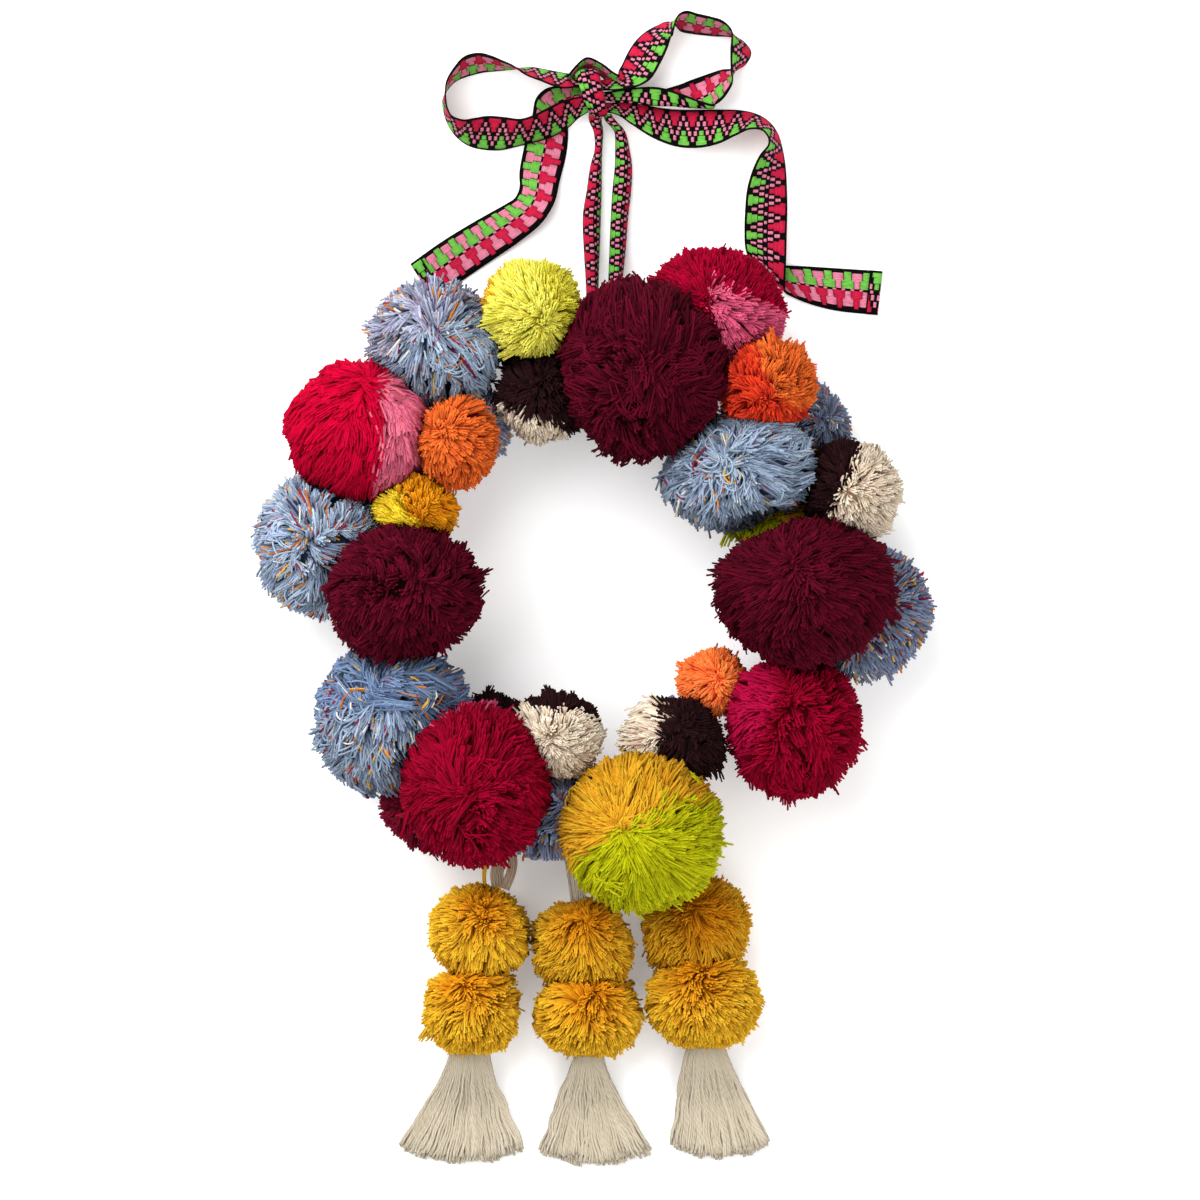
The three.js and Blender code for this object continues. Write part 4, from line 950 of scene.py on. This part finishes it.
# The four ribbons of the bow. The ribs nearest its middle lie under the band of the knot.
bow = {
    "ribbon_loop_left": {"greenFirst": True, "frontUp": True, "held": "gathered", "ribs": [
        rib(0, 247.5, 0, 243.5, 9.5, wide=8.5), rib(-7.7, 251, -7.7, 245, 8, wide=10),
        rib(-14, 252, -16.5, 244.5, 5, wide=17), rib(-24, 254, -26.5, 248, 1.5),
        rib(-32, 255.3, -34, 251), rib(-39.5, 254.5, -40.5, 255.5), rib(-45, 254, -46, 258),
        rib(-50, 253.5, -52, 260.5), rib(-55, 253, -57.5, 261.7), rib(-63, 251, -64.5, 260),
        rib(-69, 248.5, -70, 254), rib(-73, 244.5, -73.5, 247.5), rib(-75.5, 239, -74, 239.5),
        rib(-75, 233, -73, 234), rib(-72.5, 226, -71, 230.5), rib(-68, 220, -65.5, 228.5),
        rib(-62, 216, -59.5, 229.3), rib(-55, 214.3, -53, 230.4, 1), rib(-47, 214, -44.5, 229.8, 2),
        rib(-37.5, 216, -36.5, 228.8, 3.4), rib(-29.5, 218, -30.5, 230.5, 4),
        rib(-21.5, 220.3, -24.5, 233.5, 4.6), rib(-13, 225, -16.5, 237.5, 6, wide=18),
        rib(-7.7, 229.8, -7.7, 240, 8, wide=12), rib(0, 234.5, 0, 240, 10.5, wide=9)]},
    "ribbon_loop_right": {"greenFirst": False, "frontUp": False, "held": "gathered", "ribs": [
        rib(2, 248, 2, 243.5, 10.5, wide=8.5), rib(11.3, 250.5, 11.3, 243.5, 9, wide=10),
        rib(12.5, 253.5, 22, 245.5, 6, wide=16), rib(14.2, 256.5, 28, 249, 3.5),
        rib(17, 262.5, 33, 257, 1), rib(21, 268.5, 36.5, 264.5), rib(26, 273, 38.3, 269.8),
        rib(31.5, 276, 39, 270.5), rib(36.5, 278, 40, 275), rib(40, 277, 42, 280.5),
        rib(43.5, 273.5, 46, 282.7), rib(49, 272.3, 51.5, 281.3), rib(54.5, 271.6, 58, 279.8),
        rib(61.5, 271, 64, 277.8), rib(67.5, 270.8, 68.3, 273.5), rib(73.5, 269, 68.8, 270.5),
        rib(78.3, 263, 68.3, 264), rib(76.5, 258, 68.3, 258), rib(73, 255, 68.5, 252.5),
        rib(68.5, 254.3, 69, 247.5), rib(64, 254, 67, 243), rib(59, 252.5, 63.5, 238.5),
        rib(53, 250.5, 59.3, 236.5, rise=10.7, fold=(60, 234.8, 9.8)),
        rib(48, 248.7, 53, 238.2, rise=9.7, fold=(54.8, 234.6, 8.3)),
        rib(44, 247, 48, 240, rise=11.6, fold=(49.6, 234.9, 8.5)),
        rib(39.5, 245.5, 43, 241.9, rise=11.7, fold=(44.6, 235.2, 9.2)),
        rib(34.5, 244, 38, 243.6, 0.8, rise=12, fold=(39, 235.8, 10.2)),
        rib(30, 243, 33, 244.8, 1.2, rise=12.2, fold=(33.2, 235.8, 11)),
        rib(26, 242.5, 28, 245.2, 2, rise=11.2, fold=(27.5, 236.2, 11.2)),
        rib(21.5, 241.5, 22.5, 245, 3.2, rise=9.4, fold=(21.5, 237.2, 10.6)),
        rib(16, 241, 17, 244.4, 4.4, rise=7.3, fold=(15.5, 237.6, 10)),
        rib(11.3, 240.8, 11.3, 243.4, 5.5, rise=6, fold=(11.3, 237.8, 9.8)),
        rib(2, 241, 2, 242.3, 8, rise=3.8, fold=(2, 239.5, 10.3))]},
    "ribbon_tail_left": {"greenFirst": True, "frontUp": False, "held": "laid", "ribs": [
        rib(0, 244, 0, 237.5, 7.5, rise=0), rib(-7.7, 246, -7.7, 236.5, 5.5, rise=0),
        rib(-15.5, 246, -12, 233, 2.6, rise=0), rib(-23.5, 245, -13.5, 228.5, 0.8, rise=0),
        rib(-29, 240, -13, 224.8, rise=0), rib(-31, 231, -13, 219, rise=0),
        rib(-35, 215.5, -14, 211, rise=0), rib(-37.3, 203, -17, 199, rise=2),
        rib(-37.3, 195, -19.3, 189, rise=5), rib(-39.5, 190, -22.5, 182.5, rise=6.5),
        rib(-44, 187, -27, 176.5, rise=5), rib(-52.5, 182.3, -37.5, 168, rise=2.5),
        rib(-61, 177.5, -48.5, 160.5, rise=1), rib(-76.5, 168, -64, 150, rise=0),
        rib(-91.2, 157.5, -79.7, 138.8, rise=0)]},
    "ribbon_tail_right": {"greenFirst": False, "frontUp": False, "held": "laid", "ribs": [
        rib(2, 237, 2, 233, 8.5, wide=5.5), rib(11.3, 237.5, 11.3, 231.5, 6.5, wide=6.5),
        rib(21, 237.3, 18.5, 226.8, 3, wide=14), rib(32, 235, 30.5, 219.3), rib(42.5, 234, 42.5, 215.3),
        rib(53, 234, 53, 215), rib(63, 234, 62.2, 217), rib(73.5, 233.6, 70.7, 221),
        rib(82, 231.5, 78, 224), rib(88, 227.5, 84, 223.3), rib(91.8, 222, 87, 219.5, 0.8),
        rib(93.8, 215.5, 87, 216, 1.5), rib(95, 209.5, 83, 211, 3), rib(95.8, 203, 79.3, 203.5, 4.5),
        rib(96.3, 194, 76.5, 194, 6), rib(96.5, 184, 75.5, 184, 7),
        rib(96.3, 172, 75.1, 172, 8, rise=0), rib(96, 158, 75.5, 165, 8, rise=0),
        rib(95.5, 148, 77, 160.5, 7.4, rise=0), rib(95.7, 143, 79, 157.5, 4.8, rise=0),
        rib(97.5, 141.5, 83, 157, 2.2, rise=0), rib(103, 138.8, 91, 156.5, 1.3, rise=0),
        rib(111, 136, 104, 156, 0.8, rise=0), rib(122, 133.5, 120.5, 155, rise=0),
        rib(141, 131.5, 143.5, 153.5, rise=0)]},
}


def makeBow():
    for name, look in bow.items():
        grid = ribbonGrid(look["ribs"])
        hem = look["held"] == "laid"
        if hem:
            grid = hemmed(grid)
        sides = (look["greenFirst"], look["frontUp"])
        piece, length = ribbonSheet("woven_" + name, name, grid, *sides, hem)


# The two strands that the wreath hangs by, folded lengthwise like a gutter turned over.
# A row is y, the two sides that show and the height of the ridge.
hangers = {
    "ribbon_hanger_left": {"greenFirst": False, "rows": [
        (234.5, -2.5, 4.5, 16), (229.2, -3, 4, 13), (223, -0.5, 4.8, 9.5), (214, 0, 4.3, 9),
        (206, -2.2, 4.1, 8.5), (194, -4, 4, 8.5), (181, -6, 3.6, 8.5), (164, -5.5, 3, 10),
        (149, -4.5, 2.5, 15), (136.5, -4, 2.5, 24)
    ]},
    "ribbon_hanger_right": {"greenFirst": True, "rows": [
        (231.5, 4.5, 9, 12.5), (229.2, 5, 10.5, 13), (223, 9.8, 15.8, 9.5), (214, 10.2, 18, 9),
        (206, 10, 19.2, 8.5), (194, 8.8, 18.8, 8.5), (181, 8, 17.3, 8.5), (164, 7.3, 16, 10),
        (149, 6.8, 14.5, 15), (136.5, 6.5, 13, 24)
    ]},
}
gutter = {
    "across": 15,  # points across
    "from": 0.38,  # where the ridge lies between the two edges
    "round": 1.05,  # how far round the gutter goes, in half turns
    "depth": 7,
    "tall": 6.4,
    "thin": 0.5,
    "floor": 0.6,
}


def makeHangers():
    angle = (np.linspace(0, 1, gutter["across"]) - gutter["from"])[None, :] * math.pi * gutter["round"]
    for name, look in hangers.items():
        sides = [[(row[side], row[0], row[3]) for row in look["rows"]] for side in (1, 2)]
        left, y, ridge = smoothRun(sides[0], ribbon["steps"]).T[..., None]
        right = smoothRun(sides[1], ribbon["steps"])[:, :1]
        x = (left + right) / 2 + np.sin(angle) * ((right - left) / 2 - gutter["thin"])
        z = np.maximum(ridge - gutter["depth"] + np.cos(angle) * gutter["tall"], gutter["floor"])
        grid = np.stack(np.broadcast_arrays(x, y, z), axis=-1)
        piece, length = ribbonSheet("woven_" + name, name, grid, look["greenFirst"], True)


# The knot's band goes once round the ribbons, folded lengthwise; from and to are half turns.
knot = {
    "x": -0.6, "y": 242.0, "z": 11.6,
    "halfX": 5.9, "halfY": 12.2, "halfZ": 10.6,
    "slant": 2.8,
    "fold": 2.8,
    "crease": 0.35,
    "creases": 5,
    "from": -0.55, "to": 1.5,
    "overlap": 1.36, "step": 0.8,  # beyond this the band lies on its own start, and how far out
    "narrow": (0.86, 0.14),  # its width, and how much narrower it is on the far side
    "along": 80,
    "acrossFrom": -0.66, "acrossTo": 0.6, "across": 21,
    # the turn of ribbon that stands up behind the band
    "turnBehind": [
        rib(-11, 247, -13.5, 250, 3, rise=12), rib(-7, 251, -9, 255.5, 2, rise=15),
        rib(-3.5, 254, -3.5, 259.6, 1.5, rise=16), rib(1.5, 252.5, 4, 256.5, 2, rise=15.5),
        rib(6.5, 248, 9.5, 252.3, 3, rise=15), rib(9, 245, 13, 250.4, 4, rise=14)
    ],
}


def makeKnot():
    turn = np.linspace(knot["from"] * math.pi, knot["to"] * math.pi, knot["along"])[:, None]
    angle = np.linspace(knot["acrossFrom"], knot["acrossTo"], knot["across"])[None, :] * math.pi
    outside = knot["step"] * (turn > knot["overlap"] * math.pi)
    crease = knot["crease"] * np.cos(angle * knot["creases"] + turn)
    crease = crease + (np.cos(angle) - 1) * knot["fold"] + outside
    wide, less = knot["narrow"]
    wide = wide - less * np.cos(turn)
    x = knot["x"] + knot["slant"] * np.cos(turn) + np.sin(angle) * knot["halfX"] * wide
    y = knot["y"] - np.cos(turn) * (knot["halfY"] + crease)
    z = knot["z"] + np.sin(turn) * (knot["halfZ"] + crease)
    grid = np.stack(np.broadcast_arrays(x, y, z), axis=-1)
    band, length = ribbonSheet("woven_ribbon_knot", "ribbon_knot", grid, True, False)
    grid = ribbonGrid(knot["turnBehind"])
    behind, length = ribbonSheet("woven_ribbon_turn", "ribbon_knot", grid, False, False, replaces=False)


makeBow()
makeHangers()
makeKnot()
print("ribbon made")


# The cream fringes. Lengths are in mm, and a pair is the least amount and what may be added.
fringe = {
    "strand": 0.8,  # half thickness of a strand
    "layers": [  # height at the lower end, strands, how much shorter than the longest
        (1.2, 36, 1.0), (3.0, 40, 0.0), (4.6, 46, 0.5), (5.8, 50, 1.5), (6.7, 52, 2.2), (7.4, 52, 3.0)],
    "rings": 14,
    "lock": 4,  # strands that wave together
    "neckHeight": 14,
    "neckRound": 4.6,
    "sag": 7,  # how much higher the two corners of the lower edge are than its middle
    "lockDrop": 3.2,  # how far locks, and strands, differ in length
    "strandDrop": 1.4,
    "settle": (1.5, 1.9),  # how soon strands come down on the layers below
    "wave": (0.4, 1.8),
    "waves": (2.5, 2.5),
    "ripple": (0.25, 0.5),
    "ripples": (13, 9),
    "astray": (0.05, 0.006),  # how far locks, and strands, stray to a side
    "dark": (0.3, 1.0),  # the darkest and the lightest strand
    "floor": 0.9,
}
# flare tells how late the two sides spread
fringes = {
    "tassel_left_fringe": {"neckX": -62, "neckY": -237, "neck": 21,
        "left": -97.5, "right": -34.5, "endY": -293, "flare": (1.25, 1.35)},
    "tassel_mid_fringe": {"neckX": -2.5, "neckY": -238, "neck": 15,
        "left": -27.5, "right": 29, "endY": -294, "flare": (0.95, 1.35)},
    "tassel_right_fringe": {"neckX": 56, "neckY": -234, "neck": 20,
        "left": 38.5, "right": 88.5, "endY": -291, "flare": (0.6, 1.15)},
}


def strandBundle(node, paths, colours):
    # paths (strand, ring, xyz) in mm of the tables
    paths = (paths + ringMiddle) * mm
    outward = np.broadcast_to(np.array(up, float), paths.shape)
    pile = Pile()
    pile.strands(paths, outward, np.full(paths.shape[:2], fringe["strand"] * mm), colours, 0.0, 1.0)
    pile.piece(node)


def fringeStrand(look, layer, place, lock, rng):
    # place is the strand's share of the way across the neck, layer its number and height
    number, height, shorter = layer
    beat, start, size, aside, drop, lift = lock
    byBeat, bySize = readPairs(fringe, beat), readPairs(fringe, size)
    along = np.linspace(0, 1, fringe["rings"])
    order = (number - 2.5) / 2.5
    early, late = look["flare"]
    lockAstray, strandAstray = fringe["astray"]
    reached = place + (aside - 0.5) * lockAstray + rng.normal() * strandAstray
    reached = min(1, max(0, reached))
    rootX = look["neckX"] + (place - 0.5) * look["neck"] * (0.95 - 0.12 * abs(order))
    endX = look["left"] + (look["right"] - look["left"]) * (0.02 + 0.96 * reached)
    endY = look["endY"] + shorter + fringe["sag"] * (2 * reached - 1) ** 2
    endY = endY + drop * fringe["lockDrop"] + rng.uniform(0, fringe["strandDrop"]) - 1
    across = math.sqrt(max(0.1, 1 - (2 * place - 1) ** 2))
    rootZ = fringe["neckHeight"] + order * fringe["neckRound"] * across
    settle = np.minimum(1, along * rng.uniform(*fringe["settle"]))
    settle = settle * settle * (3 - 2 * settle)
    spread = along ** (early + (late - early) * place)
    start = start * 6.3  # anywhere in a wave
    wave = np.sin(along * byBeat("waves") + start) * along * bySize("wave")
    ripple = np.sin(along * byBeat("ripples") + start) * np.minimum(along * 3, 1)
    wave = wave + ripple * bySize("ripple")
    x = rootX + (endX - rootX) * spread + wave
    y = look["neckY"] - 0.5 + (endY - look["neckY"]) * along
    z = rootZ + (height - rootZ) * settle + np.roll(wave, 2) * 0.3 * along + (lift - 0.5) * 0.8 * along
    return np.stack([x, y, np.maximum(z, fringe["floor"])], axis=-1)


def makeFringe(name, look, seed):
    rng = np.random.default_rng(seed)
    paths = []
    for number, (height, count, shorter) in enumerate(fringe["layers"]):
        lockRows = rng.uniform(0, 1, (count // fringe["lock"] + 1, 6))
        for i in range(count):
            place = (i + 0.5 + rng.uniform(-0.2, 0.2)) / count
            lock = lockRows[i // fringe["lock"]]
            paths.append(fringeStrand(look, (number, height, shorter), place, lock, rng))
    paths = np.array(paths)
    deep, light = (np.array(linear(code)) for code in yarns["fringe"])
    ripe = np.linspace(0.85, 1.05, fringe["rings"])[None, :, None]
    ripe = rng.uniform(*fringe["dark"], (len(paths), 1, 1)) * ripe
    strandBundle(name, paths, deep + (light - deep) * ripe)


# Each bundle of a tie: yarn, strands side by side, and the points that it goes through, in mm.
ties = {
    "tie_left": [
        ("mustard", 2, [(-54.5, -153.5, 25), (-54.8, -147, 24.6), (-53, -140, 25), (-51, -132, 26)]),
        ("flax", 6, [(-48, -154, 26), (-48.6, -147, 26.6), (-46.6, -140, 27), (-49, -132, 27)]),
        ("flax", 4, [(-44.5, -155, 26), (-41.4, -147, 27), (-40.6, -140, 27.6), (-44, -131, 27)])],
    "tie_mid": [
        ("fringe", 7, [(-7.6, -164, 25.5), (-8.6, -156, 27), (-9.8, -147, 29), (-11.5, -136, 31)])],
    "tie_right": [
        ("flax", 5, [(42.5, -153, 25.6), (40, -147, 27), (37.5, -140, 28.6)])],
}
tieYarn = {
    "rings": 14,
    "apart": 1.05,
    "sway": 0.25,
    "lift": 0.5,
    "liftSway": 0.3,
    "dark": (0.75, 1.0),
}


def makeTie(name, bundles, seed):
    rng = np.random.default_rng(seed)
    rings = tieYarn["rings"]
    paths, colours = [], []
    for dye, count, points in bundles:
        curve = smoothRun(points, 5)
        shares = np.linspace(0, 1, len(curve))
        middle = np.stack([np.interp(np.linspace(0, 1, rings), shares, c) for c in curve.T], axis=1)
        sideways = unit(np.cross(unit(np.gradient(middle, axis=0)), up))
        for i in range(count):
            sway = np.sin(np.linspace(0, 3, rings) + rng.uniform(0, 6)) * tieYarn["sway"]
            away = (i - (count - 1) / 2) * tieYarn["apart"] + sway
            lift = rng.uniform(-tieYarn["lift"], tieYarn["lift"])
            lift = lift + np.sin(np.linspace(0, 4, rings) + rng.uniform(0, 6)) * tieYarn["liftSway"]
            paths.append(middle + sideways * away[:, None] + np.array([up]) * lift[:, None])
            shade = rng.uniform(*tieYarn["dark"])
            colours.append(np.repeat([linear(yarns[dye][1])], rings, axis=0) * shade)
    strandBundle(name, np.array(paths), np.array(colours))


for seed, (name, look) in enumerate(fringes.items(), 101):
    makeFringe(name, look, seed)
for seed, (name, bundles) in enumerate(ties.items(), 111):
    makeTie(name, bundles, seed)
print("fringes and ties made")


# A pale floor, two soft lamps and a camera straight above. Lengths are in metres.
stage = {
    "floorColour": "fafafa",
    "floorSize": 6,
    "floorGlow": 0.22,  # keeps the shadows light
    "cameraFar": 8.0,
    "pictureWide": 0.6,
    "aim": (0.0038, -0.0060),  # middle of the photograph
    "lamps": {  # power, size, place
        "keyLight": (68.0, 2.2, (-1.0, 1.0, 1.6)),
        "fillLight": (22.0, 2.0, (1.2, -1.0, 1.6)),
    },
    "world": 0.65,
}


def makeFloor():
    floor = bmesh.new()
    bmesh.ops.create_grid(floor, x_segments=1, y_segments=1, size=stage["floorSize"])
    mesh = bpy.data.meshes.new("floor")
    floor.to_mesh(mesh)
    floor.free()
    piece = bpy.data.objects.new("floor", mesh)
    bpy.context.scene.collection.objects.link(piece)
    shader = Shader("floorPaint", 0.8)
    shader.surface.inputs["Base Color"].default_value = (*linear(stage["floorColour"]), 1)
    shader.surface.inputs["Emission Color"].default_value = (1, 1, 1, 1)
    shader.surface.inputs["Emission Strength"].default_value = stage["floorGlow"]
    mesh.materials.append(shader.material)


def makeLight(name, power, size, place):
    light = bpy.data.lights.new(name, "AREA")
    light.energy = power
    light.size = size
    lamp = bpy.data.objects.new(name, light)
    lamp.location = place
    lamp.rotation_euler = (-Vector(place)).to_track_quat("-Z", "Y").to_euler()
    bpy.context.scene.collection.objects.link(lamp)


def makeCamera():
    lens = bpy.data.cameras.new("camera")
    lens.lens = lens.sensor_width * stage["cameraFar"] / stage["pictureWide"]
    lens.clip_end = 50
    camera = bpy.data.objects.new("camera", lens)
    camera.location = (*stage["aim"], stage["cameraFar"])
    bpy.context.scene.collection.objects.link(camera)
    bpy.context.scene.camera = camera


def makeWorld():
    world = bpy.data.worlds.new("studio")
    world.use_nodes = True
    background = world.node_tree.nodes["Background"]
    background.inputs["Color"].default_value = (1, 1, 1, 1)
    background.inputs["Strength"].default_value = stage["world"]
    bpy.context.scene.world = world


makeFloor()
for name, (power, size, place) in stage["lamps"].items():
    makeLight(name, power, size, place)
makeCamera()
makeWorld()
bpy.context.scene.view_settings.view_transform = "Standard"
print("stage ready")
